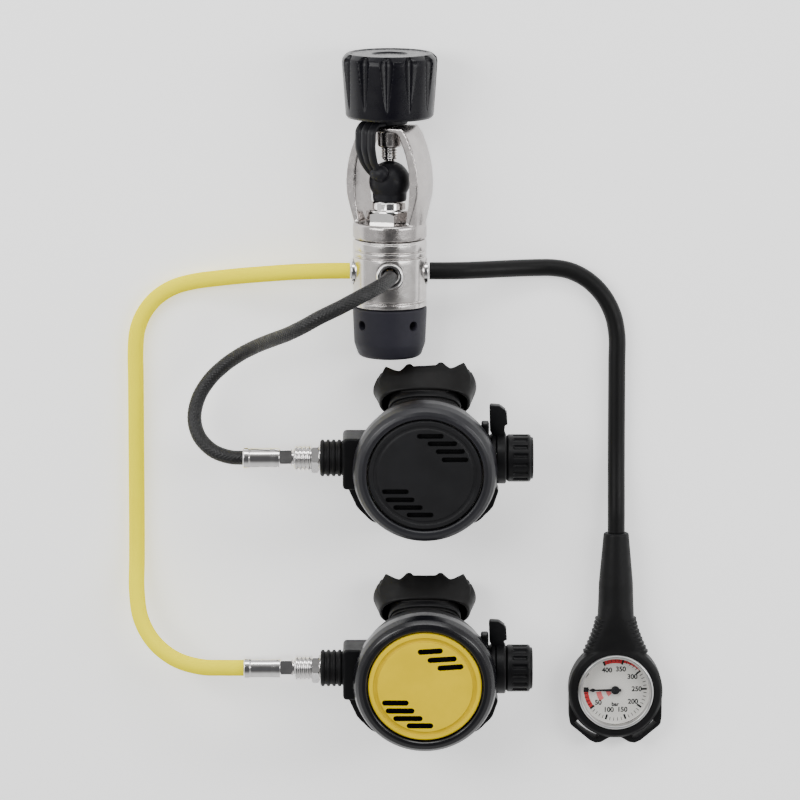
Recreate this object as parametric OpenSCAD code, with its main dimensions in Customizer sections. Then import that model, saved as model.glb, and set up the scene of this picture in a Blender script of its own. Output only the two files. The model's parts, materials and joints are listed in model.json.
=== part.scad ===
// Scuba regulator set, laid out on a table: a yoke first stage, two second stages on their
// hoses and a pressure gauge in a rubber boot. +X runs across the set, +Y towards the yoke
// knob and +Z up from the table. All sizes are in millimetres.

/* [Layout] */
// Where the first stage's axis lies across the table
first_stage_x = -33.7; // [-40:0.1:-30]
// Where the yoke meets the first-stage body, along the table
first_stage_y = 86.1; // [84:0.1:90]
// Where both second stages' centres lie across the table
stage_x = -15.5; // [-18:0.1:-14]
// Where the primary second stage's centre lies along the table
primary_y = -32.3; // [-34:0.1:-30]
// Where the octopus second stage's centre lies along the table
octopus_y = -142.8; // [-145:0.1:-140]
// How far a second stage leans on its mouthpiece and exhaust tee, in degrees
stage_lean = 9; // [7:0.5:11]
// Height of a second stage's cover above the table
stage_height = 60.8; // [60:0.1:63]
// Where the gauge's centre lies across the table
gauge_x = 84.9; // [82:0.1:88]
// Where the gauge's centre lies along the table
gauge_y = -154; // [-157:0.1:-151]

/* [First stage] */
// Radius of the first-stage body
body_r = 19.1; // [18:0.1:20]
// Length of the first-stage body
body_l = 35.6; // [34:0.1:38]
// Largest radius of the yoke knob
knob_r = 24.8; // [22:0.1:26]
// Height of the yoke knob's lower face above the yoke's seat on the body
knob_z = 62.4; // [61:0.1:64]
// Length of the yoke knob
knob_l = 34.6; // [30:0.1:36]
// Number of flutes around the yoke knob
knob_flutes = 12; // [8:1:12]
// Half width across the yoke's arms at their widest
yoke_half_w = 20.2; // [19.6:0.1:21]
// Depth of the yoke, through its window
yoke_depth = 20; // [16:0.5:22]
// Thickness of a yoke arm
yoke_arm_t = 6.3; // [5:0.1:7]
// Turn of the yoke about the first stage's axis, in degrees
yoke_turn = 25; // [0:1:30]
// Radius of the yoke screw
screw_r = 4.5; // [4:0.1:5]
// Radius of the dust cap's ball
dust_cap_r = 10.7; // [10:0.1:11]
// Radius of the end cap at the body
cap_r = 19.3; // [19:0.1:20]
// Length of the end cap below the body
cap_l = 26; // [24:0.1:28]
// Height of the hose ports below the yoke's seat
port_depth = 17.2; // [16:0.1:18]

/* [Second stage] */
// Outer radius of the cover ring
ring_r = 37.2; // [36.6:0.1:38]
// Height of the cover ring
ring_h = 13; // [12:0.1:14]
// Radius of the purge cover
purge_r = 29.3; // [28:0.1:29.6]
// Outer radius of the case
case_r = 34.4; // [34:0.1:35]
// Wall of the case
case_wall = 2.4; // [2:0.1:2.6]
// Depth of the valve barrel's axis behind the cover
barrel_depth = 23; // [22.5:0.1:23.5]
// Offset of the valve barrel's axis from the cover's centre
barrel_y = 2.5; // [1:0.1:3]
// Outer radius of the valve barrel
barrel_r = 7.4; // [7.2:0.1:7.6]
// Radius of the breathing-effort knob
adjust_r = 12.3; // [11:0.1:13]
// Reach of the venturi lever from the valve barrel's axis
venturi_reach = 31; // [28:0.5:32]
// Lean of the mouthpiece away from the case's axis, in degrees
mouth_lean = 36; // [34:1:38]
// Width of the mouthpiece's bite flange
mouth_w = 53.6; // [50:0.1:56]
// Height of the mouthpiece's bite flange
mouth_h = 30; // [26:0.5:32]
// Half length of the exhaust tee
tee_half_l = 20; // [18:0.5:22]
// Outer radius of the exhaust tee's wings
tee_r = 9; // [8.5:0.1:9.5]

/* [Gauge] */
// Radius of the gauge boot's round body
boot_r = 24.7; // [24:0.1:26]
// Height of the gauge boot
boot_h = 17; // [16.5:0.1:18]
// Distance from the gauge's centre to the hose end of its boot
boot_reach = 83.8; // [80:0.1:88]
// Outer radius of the gauge's bezel
bezel_r = 19.8; // [19:0.1:19.9]
// Radius of the dial
dial_r = 18.4; // [18:0.1:18.5]
// Length of the needle's pointing end
needle_l = 14; // [12:0.5:15]

/* [Hoses] */
// Diameter of the octopus second stage's hose
octopus_hose_d = 8.3; // [8:0.1:8.4]
// Diameter of the primary second stage's braided hose
primary_hose_d = 7.5; // [7:0.1:7.6]
// Diameter of the gauge's hose
gauge_hose_d = 9; // [8.6:0.1:9]

/* [Hidden] */
$fn = 48;
hull_fn = 32;
slack = 0.1;
rubber = "#1b1b1d";
charcoal = "#2e2d35";
nickel = "#c9c2c0";
chrome = "#dcd8d6";
steel = "#a9abb0";
yellow = "#e0c838";

// The first stage lies on the yoke knob and the end cap
knob_contact_z = knob_z + knob_l - 6;
cap_contact_z = -body_l - 1;
rest_tilt = asin((knob_r - cap_r) / (knob_contact_z - cap_contact_z));
axis_height = knob_r * cos(rest_tilt) - knob_contact_z * sin(rest_tilt);

// First stage, measured up its axis from the yoke's seat on the body
collar_h = 8.5;
yoke_top_z = 59.4;
yoke_wide_z = 29.6;
boss_z = 49.4;
boss_r = 6.5;
nut_h = 6;
nut_r = 12.8;
seat_r = 9.1;
seat_z = 19.8;
shank_r = 9;
shank_l = 8;
cap_ball_z = 29.7;
strap_out = 12.2;
spot_x = 17.5;
fitting_out = 20.5;
fitting_r = 6.6;
fitting_hole_r = 4.8;

// Second stage, measured from the centre of the cover's front face
lip_h = 5;
rim_z = -6.55;
dome_z = -24;
dome_depth = 15;
block_x = 42.6;
collar_x = 54.4;
nut_x = 67.9;
ferrule_x = 94.1;
hub_x = 36.8;
knob_x = 42.4;
knob_end_x = 56;
mouth_base = [0, 14, -30];
seat_base = [0, -17, -37.5];
seat_lean = 15;
tee_axis = [-35, -46.85];

// Where the gauge's stem and hose run above the table
stem_z = 9.5;

// Centre lines of the three hoses, from the first stage to the far end
octopus_route = [
    [-54.3, 69, 20], [-60, 69, 20], [-70, 68.8, 19.4], [-84, 68, 17], [-98, 66.6, 13],
    [-112, 65, 8.8], [-124, 63.4, 5.8], [-136, 61.6, 4.5], [-146.5, 58.6, 4.3],
    [-155.2, 53.2, 4.3], [-161.6, 45.6, 4.3], [-165.4, 36.6, 4.3], [-166.5, 27, 4.3],
    [-166.5, 10, 4.3], [-166.5, -10, 4.3], [-166.5, -30, 4.3], [-166.5, -50, 4.3],
    [-166.5, -68, 4.6], [-166.5, -84, 6.6], [-166.4, -101, 12.2], [-163.9, -114.6, 19],
    [-156.6, -125.8, 26], [-145.4, -133.4, 32], [-131.8, -136.6, 36.6],
    [-120, -136.7, 38.3], [-109.6, -136.7, 38.5]];
primary_route = [
    [-33.7, 68, 40.8], [-33.7, 67.9, 45.5], [-36, 67, 56], [-41, 65, 65.8],
    [-49, 61.5, 72.5], [-59, 56.5, 75.6], [-69, 51.5, 74.8], [-78, 46, 70.4],
    [-85.5, 41.5, 63.2], [-92, 38, 54.4], [-97.5, 34.8, 45], [-103.5, 31.3, 36.6],
    [-111, 26.6, 29.8], [-119.3, 20.4, 25.4], [-127.2, 12.6, 24], [-133, 3.2, 25.4],
    [-135, -7, 28.8], [-132.3, -16, 32.8], [-125.2, -22.8, 36.2], [-116.5, -25.8, 38.1],
    [-109.6, -26.2, 38.5]];
gauge_route = [
    [-13.1, 69, 20], [-6, 69, 20], [4, 69, 18.8], [15, 69, 15.2], [26, 69, 10.6],
    [36, 69, 7], [44, 69, 5.2], [51, 68.9, 4.7], [60.4, 67.2, 4.6], [69.8, 62.2, 4.6],
    [77.6, 54.2, 4.6], [82.8, 44, 4.6], [84.9, 33, 4.6], [84.9, 20, 4.6], [84.9, 4, 4.6],
    [84.9, -12, 4.6], [84.9, -26, 4.9], [84.9, -38, 6], [84.9, -50, 8],
    [84.9, -60, 9.4], [84.9, -65, 9.5], [84.9, -70, 9.5]];

// ---- Shared shapes ----

function arc_points(rx, rz, z0, from, to, steps) =
    [for (i = [0:steps]) let (a = from + (to - from) * i / steps) [rx * cos(a), z0 + rz * sin(a)]];

module bar_x(from, to, r, r_end = -1) {
    translate([from, 0, 0]) rotate([0, 90, 0])
        cylinder(h = to - from, r1 = r, r2 = r_end < 0 ? r : r_end);
}

module bar_z(from, to, r, r_end = -1) {
    translate([0, 0, from]) cylinder(h = to - from, r1 = r, r2 = r_end < 0 ? r : r_end);
}

module tube_z(from, to, r, bore) {
    difference() {
        bar_z(from, to, r);
        bar_z(from - 1, to + 1, bore);
    }
}

// An oval bar with flat sides, w wide and h high
module oval_z(from, to, w, h) {
    for (side = [-1, 1])
        translate([side * (w - h) / 2, 0, 0]) bar_z(from, to, h / 2);
    translate([-(w - h) / 2, -h / 2, from]) cube([w - h, h, to - from]);
}

// A box with rounded upright edges
module soft_slab(size, r) {
    hull() for (x = [-1, 1], y = [-1, 1])
        translate([x * (size[0] / 2 - r), y * (size[1] / 2 - r), 0])
            cylinder(h = size[2], r = r, $fn = hull_fn);
}

// A tube swept along a route, one ring at each point
function unit(v) = v / norm(v);
function heading(path, i) = unit(path[min(i + 1, len(path) - 1)] - path[max(i - 1, 0)]);
function side_of(dir) = unit(abs(dir[2]) > 0.8 ? cross(dir, [0.4, -0.9, 0]) : cross(dir, [0, 0, 1]));

function carried(path, i) =
    i == 0 ? side_of(heading(path, 0)) :
    let (last = carried(path, i - 1), dir = heading(path, i)) unit(last - dir * (last * dir));

module swept_tube(path, d, sides = 10) {
    rings = [for (i = [0:len(path) - 1])
        let (dir = heading(path, i), u = carried(path, i), v = cross(dir, u))
        for (k = [0:sides - 1]) let (a = 360 * k / sides)
            path[i] + d / 2 * (cos(a) * u + sin(a) * v)];
    last = (len(path) - 1) * sides;
    walls = [for (i = [0:len(path) - 2], k = [0:sides - 1])
        let (a = i * sides + k, b = i * sides + (k + 1) % sides)
        each [[a, a + sides, b], [b, a + sides, b + sides]]];
    ends = [[for (k = [0:sides - 1]) k], [for (k = [sides - 1:-1:0]) last + k]];
    polyhedron(points = rings, faces = concat(walls, ends));
}

// A coil spring along Z
module coil(from, to, r, wire, turns) {
    steps = turns * 10;
    swept_tube([for (i = [0:steps]) let (a = 36 * i)
        [r * cos(a), r * sin(a), from + wire / 2 + (to - from - wire) * i / steps]], wire, 5);
}

// ---- Where things lie ----

module at_first_stage() {
    translate([first_stage_x, first_stage_y, axis_height]) rotate([-90 + rest_tilt, 0, 0])
        children();
}

module at_stage(y) {
    translate([stage_x, y, stage_height]) rotate([stage_lean, 0, 0]) children();
}

module at_barrel() {
    translate([0, barrel_y, -barrel_depth]) children();
}

module at_mouth() {
    translate(mouth_base) rotate([mouth_lean, 0, 0]) children();
}

module at_seat() {
    translate(seat_base) rotate([-seat_lean, 0, 0]) children();
}

module at_gauge() {
    translate([gauge_x, gauge_y, 0]) children();
}

// Around the first stage, with the turn counted from the side that faces up
module at_port(turn) {
    rotate([0, 0, turn]) translate([0, 0, -port_depth]) rotate([90, 0, 0]) children();
}

// ---- First stage ----

module first_stage_body() {
    color(chrome) difference() {
        rotate_extrude() polygon([
            [0, 0], [body_r - 0.6, 0], [body_r, -0.6], [body_r, -5.2], [body_r - 0.6, -5.6],
            [body_r, -6], [body_r, -8.3], [body_r - 0.6, -8.7], [body_r, -9.1],
            [body_r, -31.4], [body_r - 0.7, -31.9], [body_r, -32.4],
            [body_r, -body_l + 0.5], [body_r - 0.5, -body_l], [0, -body_l]]);
        bar_z(-shank_l, 1, shank_r + 0.05);
        bar_z(-12, 1, 6);
        bar_z(-15, 1, 2.4);
        bar_z(-26, -14, 9);
        bar_z(-28.2, -25.5, 15);
        bar_z(-body_l - 1, -28, 16.45);
        for (turn = [-90, 0, 90]) at_port(turn) {
            bar_z(spot_x, 30, 7.5);
            bar_z(turn == 90 ? 11.5 : 7, 30, fitting_hole_r);
        }
        for (turn = [135, 225]) at_port(turn) {
            bar_z(spot_x, 30, 6.4);
            bar_z(7, 30, fitting_hole_r);
        }
        // From the gauge's blind port up to the inlet chamber
        translate([12.2, 0, -13.9]) rotate([0, -60, 0]) bar_z(0, 8, 0.9);
    }
}

module port_fittings() {
    color(chrome) for (turn = [-90, 0, 90]) at_port(turn) difference() {
        union() {
            bar_z(12.2, spot_x, fitting_hole_r - 0.05);
            bar_z(spot_x, fitting_out - 0.6, fitting_r);
            bar_z(fitting_out - 0.6, fitting_out, fitting_r, fitting_r - 0.8);
        }
        bar_z(11, fitting_out - 1, 1.6);
    }
}

module port_plugs() {
    color(chrome) for (turn = [135, 225]) at_port(turn) difference() {
        union() {
            bar_z(10, spot_x, fitting_hole_r - 0.05);
            bar_z(spot_x, 20, 6.2);
        }
        translate([0, 0, 17]) cylinder(h = 4, r = 2.9, $fn = 6);
    }
}

function yoke_half(z) = yoke_half_w
    - (z > yoke_wide_z ? 8.2 * pow((z - yoke_wide_z) / (yoke_top_z - yoke_wide_z), 2)
                       : 1.1 * pow((yoke_wide_z - z) / (yoke_wide_z - collar_h), 2));

module yoke_outline() {
    steps = 12;
    heights = [for (i = [0:steps]) collar_h + (yoke_top_z - collar_h) * i / steps];
    inner_top = 53.5;
    // The arms thicken towards the top of the window
    inner = [for (i = [0:steps]) let (z = collar_h + (inner_top - collar_h) * i / steps)
        [yoke_half(z) - yoke_arm_t - 0.054 * pow(max(z - 44, 0), 2), z]];
    difference() {
        polygon(concat(
            [for (z = heights) [yoke_half(z), z]],
            [for (i = [steps:-1:0]) [-yoke_half(heights[i]), heights[i]]]));
        polygon(concat(inner, [for (i = [steps:-1:0]) [-inner[i][0], inner[i][1]]]));
    }
}

module yoke() {
    color(nickel) rotate([0, 0, -yoke_turn]) difference() {
        union() {
            intersection() {
                rotate([90, 0, 0]) translate([0, 0, -yoke_depth / 2])
                    linear_extrude(yoke_depth) yoke_outline();
                bar_z(0, 70, 22);
            }
            bar_z(0, collar_h, body_r);
            bar_z(boss_z, yoke_top_z - 1, boss_r);
        }
        bar_z(-1, collar_h + 1, seat_r + 0.05);
        bar_z(40, 70, screw_r + 0.05);
    }
}

module yoke_retainer() {
    color(chrome) difference() {
        union() {
            bar_z(-shank_l, collar_h + 2, shank_r);
            rotate([0, 0, -yoke_turn + 8]) translate([0, 0, collar_h])
                cylinder(h = nut_h, r = nut_r, $fn = 6);
            bar_z(collar_h + nut_h, seat_z - 0.8, seat_r);
            bar_z(seat_z - 0.8, seat_z, seat_r, seat_r - 0.8);
        }
        bar_z(-9, seat_z + 1, 3);
        bar_z(-9, -2, 5.2);
        tube_z(seat_z - 1.2, seat_z + 1, 7, 5.2);
    }
}

module inlet_filter() {
    color(steel) bar_z(-7.6, -2, 5.1);
}

module yoke_screw() {
    color(steel) rotate_extrude() polygon(concat(
        [[0, 40.6], [screw_r - 1.4, 40.6], [screw_r, 42]],
        [for (i = [0:4]) each [[screw_r, 42.8 + 1.4 * i], [screw_r - 0.5, 43.3 + 1.4 * i],
            [screw_r, 43.8 + 1.4 * i]]],
        [[screw_r, 76], [0, 76]]));
}

module yoke_knob() {
    flute_r = 3.4;
    low_r = knob_r - 2.4;
    top_z = knob_z + knob_l;
    color(charcoal) difference() {
        rotate_extrude() polygon(concat(
            [[0, knob_z], [low_r - 2, knob_z], [low_r - 0.6, knob_z + 0.6], [low_r, knob_z + 2]],
            [[knob_r, top_z - 6], [knob_r - 0.2, top_z - 4.4]],
            [for (p = arc_points(2.6, 3.2, 0, 20, 90, 4)) [knob_r - 2.8 + p[0], top_z - 3.2 + p[1]]],
            [[0, top_z]]));
        bar_z(knob_z - 1, 76.1, screw_r + 0.05);
        for (i = [0:knob_flutes - 1]) rotate([0, 0, 360 * i / knob_flutes - 3.7])
            translate([0, -knob_r + 0.1, top_z + 1]) rotate([-3.4, 0, 0])
                bar_z(-30, 1, flute_r);
    }
}

module dust_cap() {
    strap_turn = -48;
    ring_z = yoke_top_z + 0.2;
    // Stations down the strap: distance from the axis, height and width
    stations = [[8, ring_z + 1.3, 12], [15, ring_z + 1.3, 12], [17.4, 56.5, 11.8],
        [17.6, 48, 11.4], [15.5, 41, 10.6], [11.8, 35.5, 9]];
    color(charcoal) difference() {
        union() {
            intersection() {
                union() {
                    translate([0, 0, cap_ball_z]) sphere(r = dust_cap_r);
                    bar_z(seat_z + 0.05, cap_ball_z - 3, 8.6);
                }
                bar_z(seat_z + 0.05, 60, 30);
            }
            bar_z(ring_z, ring_z + 2.6, 9);
            rotate([0, 0, strap_turn]) for (i = [0:len(stations) - 2]) hull()
                for (s = [stations[i], stations[i + 1]])
                    translate([0, -s[0], s[1]]) rotate([0, 90, 0])
                        cylinder(h = s[2], r = 1.3, center = true, $fn = 12);
            rotate([0, 0, strap_turn]) translate([0, -9.6, 34.6]) sphere(r = 4);
        }
        bar_z(ring_z - 1, ring_z + 4, screw_r + 0.4);
    }
}

module end_cap() {
    low_r = cap_r - 0.8;
    low_z = -body_l - cap_l;
    color(charcoal) difference() {
        rotate_extrude() polygon(concat(
            [[12.9, -28.9], [16.4, -28.9], [16.4, -body_l], [cap_r, -body_l]],
            [[cap_r, -body_l - 1.5]],
            [for (p = arc_points(9, 7, 0, 0, -90, 6)) [low_r - 9 + p[0], low_z + 7 + p[1]]],
            [[11, low_z], [11, -57], [12.9, -57]]));
        for (turn = [45:90:315]) rotate([0, 0, turn - 4.5]) translate([0, 0, -43.9])
            rotate([90, 0, 0]) bar_z(10, 25, 2.3);
    }
}

module spring_adjuster() {
    color(steel) difference() {
        bar_z(-59.5, -53.2, 10.95);
        translate([0, 0, -61]) cylinder(h = 5, r = 4, $fn = 6);
    }
    color(steel) bar_z(-53.2, -52, 12.6);
}

module main_spring() {
    color(steel) coil(-51.9, -31.2, 10, 2.6, 5);
}

module first_stage_diaphragm() {
    color(rubber) bar_z(-28.8, -28.25, 16.3);
    color(steel) bar_z(-31.1, -28.8, 11.5);
}

module first_stage_poppet() {
    color(steel) {
        bar_z(-11.9, -9.6, 4.4);
        bar_z(-26.6, -11.9, 1.6);
        bar_z(-27.2, -26.6, 5);
    }
}

module first_stage_poppet_spring() {
    color(steel) coil(-9.4, -7.7, 3.6, 0.5, 2);
}

// ---- Second stage, with the cover facing +Z and the hose coming in from -X ----

module stage_case() {
    inner_r = case_r - case_wall;
    color(rubber) difference() {
        union() {
            difference() {
                union() {
                    rotate_extrude() polygon(concat([[0, rim_z], [case_r, rim_z]],
                        arc_points(case_r, dome_depth, dome_z, 0, -90, 12)));
                    translate([-block_x, barrel_y - 14.5, -34]) cube([16, 29, 34 - ring_h - 0.2]);
                    at_barrel() bar_x(28, 36.5, 12.5, 11.6);
                    translate([30, 10, -24]) cube([3, 12.6, 7]);
                    at_mouth() oval_z(-22, 6, 31, 20);
                    at_seat() bar_z(-3.5, 6, 15);
                }
                rotate_extrude() polygon(concat([[0, 0], [inner_r, 0]],
                    arc_points(inner_r, dome_depth - case_wall, dome_z, 0, -90, 12)));
                at_mouth() oval_z(-23, 8, 26, 15);
                at_seat() bar_z(-8, 8, 11.8);
            }
            at_seat() {
                bar_z(-3.3, -1.6, 2.6);
                for (turn = [0, 120, 240]) rotate([0, 0, turn])
                    translate([0, -1, -3.3]) cube([12.6, 2, 1.7]);
            }
        }
        at_barrel() bar_x(-44, 38, barrel_r + 0.05);
        at_seat() bar_z(-6, 0, 1);
    }
}

// The ring's lower edge has a notch over the case's neck and the venturi hub
module stage_cover_ring() {
    color(charcoal) difference() {
        rotate_extrude() polygon([
            [purge_r + 0.9, -0.4], [purge_r + 1.4, 0], [ring_r - 4.6, 0], [ring_r - 2.4, -0.9],
            [ring_r - 0.8, -3], [ring_r, -6.5], [ring_r, -ring_h + 0.6], [ring_r - 0.6, -ring_h],
            [case_r + 0.1, -ring_h], [case_r + 0.1, -lip_h], [purge_r + 0.9, -lip_h]]);
        at_barrel() bar_x(27, 45, 13.6);
    }
}

module slot(x, y, length) {
    half_w = 1.2;
    translate([x, y, 0]) {
        for (side = [-1, 1]) translate([side * (length / 2 - half_w), 0, 0]) bar_z(-6, 2, half_w);
        translate([half_w - length / 2, -half_w, -6]) cube([length - 2 * half_w, 2 * half_w, 8]);
    }
}

module stage_purge_cover(tone, upper_slots) {
    // Centre and length of each water slot in the upper right half
    slots = [[2.6, 21.2, 13.8], [8.8, 17.2, 15.2], [12.9, 13, 15], [15.3, 8.6, 13.8]];
    color(tone) difference() {
        rotate_extrude() polygon([
            [0, -0.7], [24.8, -0.7], [25.2, -1.4], [26.2, -1.4], [26.6, -0.7],
            [purge_r - 0.6, -0.7], [purge_r, -1.3], [purge_r, -3.6], [0, -3.6]]);
        for (i = [0:3]) {
            if (i < upper_slots) slot(slots[i][0], slots[i][1], slots[i][2]);
            slot(-slots[i][0], -slots[i][1], slots[i][2]);
        }
    }
}

module stage_diaphragm() {
    color(rubber) rotate_extrude() polygon([
        [0, -8.4], [28.5, -8.4], [30.6, -5.1], [34.2, -5.1], [34.2, rim_z + 0.05],
        [31.4, rim_z + 0.05], [29.2, -9.4], [0, -9.4]]);
}

module stage_demand_lever() {
    color(steel) at_barrel() {
        rotate([90, 0, 0]) translate([0, 0, -2.2]) linear_extrude(4.4)
            polygon([[4.3, 7.7], [5.6, 7.7], [5.6, 9.6], [-8.6, 13.3], [-10.8, 13.3],
                [-10.8, 12.3], [-9, 12.2], [4.3, 8.7]]);
        for (side = [-1, 1]) translate([4.3, side * 3.4 - 0.8, -1]) cube([1.3, 1.6, 9.6]);
        translate([4.3, -4.2, 7.7]) cube([1.3, 8.4, 0.9]);
    }
}

module stage_valve_barrel() {
    color(steel) at_barrel() difference() {
        union() {
            bar_x(-collar_x, 48, barrel_r);
            bar_x(-60, -collar_x, 6.4);
        }
        bar_x(-61, -23, 3);
        bar_x(-24, -19, 2);
        bar_x(-20, 49, 5.5);
        translate([3.6, -4.6, -2.5]) cube([5.4, 9.2, 12]);
        translate([-14, -3, -9]) cube([12, 6, 5]);
    }
}

module stage_poppet() {
    color(steel) at_barrel() {
        bar_x(-19.9, -17, 4.9);
        bar_x(-17, 5.9, 2.2);
        bar_x(5.9, 7.2, 5.2);
        bar_x(7.2, 14, 2.2);
    }
}

module stage_poppet_spring() {
    color(steel) at_barrel() rotate([0, 90, 0]) coil(7.3, 29.9, 4, 0.9, 7);
}

module stage_adjust_screw() {
    color(steel) at_barrel() {
        bar_x(30, 33, 5.42);
        bar_x(33, 53.5, 2.8);
    }
}

module stage_adjust_knob() {
    grips = 16;
    color(charcoal) at_barrel() difference() {
        union() {
            bar_x(knob_x, knob_x + 1, adjust_r - 1, adjust_r);
            bar_x(knob_x + 1, knob_end_x - 2.4, adjust_r);
            bar_x(knob_end_x - 2.4, knob_end_x - 1.4, adjust_r, adjust_r - 1.2);
            bar_x(knob_end_x - 1.4, knob_end_x, adjust_r - 1.6);
        }
        bar_x(knob_x - 1, 48.5, barrel_r + 0.5);
        bar_x(48, 54.2, 2.9);
        for (i = [0:grips - 1]) rotate([360 * i / grips, 0, 0])
            translate([0, 0, adjust_r + 0.6]) bar_x(46, knob_end_x - 4, 1.4);
    }
}

module stage_venturi_lever() {
    color(charcoal) at_barrel() difference() {
        union() {
            bar_x(hub_x, knob_x - 0.4, 13.3);
            translate([0, 0, -2.3]) linear_extrude(4.6) polygon([
                [hub_x, 8], [41.8, 8], [41.8, 14], [41.2, 19], [42.2, 26],
                [39.5, venturi_reach - 1.4], [33.8, venturi_reach], [33.3, venturi_reach - 1],
                [34.8, 20], [35.4, 15.5], [hub_x, 13]]);
        }
        bar_x(30, 50, barrel_r + 0.1);
    }
}

module stage_inlet_collar() {
    color(rubber) at_barrel() difference() {
        union() {
            bar_x(-collar_x + 0.1, -block_x - 0.05, 8.7);
            for (i = [0:3]) bar_x(-collar_x + 0.1 + 2.9 * i, -collar_x + 1.9 + 2.9 * i, 9.5);
        }
        bar_x(-60, -40, barrel_r + 0.05);
    }
}

module stage_swivel_nut() {
    color(chrome) at_barrel() difference() {
        union() {
            bar_x(-nut_x, -collar_x - 0.1, 7.1);
            for (i = [0:3]) bar_x(-nut_x + 0.5 + 2.1 * i, -nut_x + 1.9 + 2.1 * i, 7.7);
            translate([-58.6, 0, 0]) rotate([0, 90, 0]) cylinder(h = 3.6, r = 7.9, $fn = 6);
        }
        bar_x(-61, -54, 6.5);
        bar_x(-70, -60, 4.3);
    }
}

module stage_ferrule() {
    color(chrome) at_barrel() difference() {
        union() {
            bar_x(-ferrule_x, -75, 6.35, 6.1);
            translate([-75, 0, 0]) rotate([0, 90, 0]) cylinder(h = 6.4, r = 6.9, $fn = 6);
            bar_x(-68.6, -60.9, 4.2);
            bar_x(-60.95, -60.1, 6.2);
        }
        bar_x(-ferrule_x + 4, -60, 2.4);
    }
}

module stage_exhaust_valve() {
    color(rubber) at_seat() {
        bar_z(-4.4, -3.55, 13.4);
        bar_z(-3.6, -2.2, 0.9);
    }
}

module stage_exhaust_tee() {
    // The hood runs from the socket on the case down to the two outlets
    color(rubber) difference() {
        hull() {
            at_seat() translate([0, 0, -8.5]) cylinder(h = 7.5, r = 17, $fn = hull_fn);
            translate([0, tee_axis[0], tee_axis[1]]) rotate([0, 90, 0])
                cylinder(h = 2 * tee_half_l, r = tee_r, center = true, $fn = hull_fn);
        }
        hull() {
            at_seat() translate([0, 0, -6.8]) cylinder(h = 5, r = 14.6, $fn = hull_fn);
            translate([0, tee_axis[0], tee_axis[1]]) rotate([0, 90, 0])
                cylinder(h = 2 * tee_half_l - 6, r = tee_r - 1.8, center = true, $fn = hull_fn);
        }
        at_seat() bar_z(-3.6, 1, 15.05);
        translate([0, tee_axis[0], tee_axis[1]]) bar_x(-40, 40, tee_r - 1.8);
    }
}

module stage_mouthpiece() {
    color(rubber) at_mouth() difference() {
        union() {
            oval_z(-26.6, -12.4, 36, 24);
            translate([0, 0, -29.6]) soft_slab([mouth_w, mouth_h, 3.1], 13);
            for (side = [-1, 1]) translate([side * 19, 0, -44]) soft_slab([9, 5.5, 15], 2.6);
        }
        oval_z(-22.2, -12, 31.1, 20.1);
        oval_z(-40, -20, 27, 16);
    }
}

module stage_mouthpiece_tie() {
    color(rubber) at_mouth() difference() {
        oval_z(-19.4, -15.8, 38.4, 26.4);
        oval_z(-20, -15, 36.1, 24.1);
    }
}

// ---- Gauge, with the dial facing +Z and the hose coming in from +Y ----

module feet_outline() {
    half = [[24.6, 0], [24.4, -14], [23.8, -18], [20.6, -20.6], [13.4, -26.6], [10.4, -28],
        [7.4, -27.6], [3.4, -25.2], [0, -24.4]];
    polygon(concat(half, [for (i = [len(half) - 2:-1:0]) [-half[i][0], half[i][1]]]));
}

module gauge_boot() {
    teeth = 9;
    pitch = 2.1;
    color(rubber) difference() {
        union() {
            bar_z(0, boot_h - 1.2, boot_r);
            bar_z(boot_h - 1.2, boot_h, boot_r, boot_r - 1.2);
            linear_extrude(13) feet_outline();
            translate([0, 38, stem_z]) rotate([-90, 0, 0])
                cylinder(h = boot_reach - 38, r1 = 9.4, r2 = 6.7);
            translate([0, 0, 1.6]) linear_extrude(14.4)
                polygon([[-17.5, 15], [17.5, 15], [8.4, 40], [-8.4, 40]]);
            for (i = [0:teeth - 1]) translate([0, 20.6 + pitch * i, 1])
                translate([-17.2 + 0.95 * i, 0, 0]) cube([34.4 - 1.9 * i, 1.3, 15.6]);
        }
        bar_z(3, 15.1, 21.4);
        bar_z(15, boot_h + 1, bezel_r + 0.15);
        translate([0, 15, stem_z]) rotate([-90, 0, 0]) cylinder(h = 33, r = 4.55);
        for (side = [0, 1]) mirror([side, 0, 0]) rotate([0, 0, 217])
            translate([0, 0, -1]) rotate_extrude(angle = 36) translate([24.9, 0]) square([1.4, 20]);
    }
}

module gauge_case() {
    color(chrome) difference() {
        union() {
            bar_z(3.1, 15, 21.3);
            translate([0, 18, stem_z]) rotate([-90, 0, 0]) cylinder(h = 29.5, r = 4.45);
        }
        bar_z(6, 16, 16.8);
        bar_z(9.2, 16, 18.6);
        translate([0, 15, stem_z]) rotate([-90, 0, 0]) cylinder(h = 34, r = 1.5);
    }
}

module gauge_bezel() {
    color(chrome) rotate_extrude() polygon([
        [17.6, 15.6], [17.9, 15.05], [bezel_r, 15.05], [bezel_r, 17.4], [bezel_r - 0.6, 18],
        [bezel_r - 1.4, 18], [17.6, 16.8]]);
}

module gauge_lens() {
    color("white", 0.35) bar_z(13.4, 15, 18.5);
}

module gauge_dial() {
    color("ivory") tube_z(9.25, 9.85, dial_r, 1);
}

module gauge_needle() {
    color("black") {
        bar_z(9.2, 10.9, 0.8);
        bar_z(10.9, 12, 2.3);
        translate([0, 0, 11.1]) linear_extrude(0.5) polygon([
            [5.5, 1.1], [5.5, -1.1], [0, -1.1], [-10, -0.5], [-11.6, -1.3],
            [-needle_l, 0], [-11.6, 1.3], [-10, 0.5], [0, 1.1]]);
    }
}

module gauge_bourdon_tube() {
    color("goldenrod") {
        rotate([0, 0, 140]) translate([0, 0, 7.6]) rotate_extrude(angle = 260)
            translate([13, 0]) circle(r = 1.3);
        bar_z(6.05, 9.1, 2.6);
    }
}

// ---- The model ----

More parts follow.
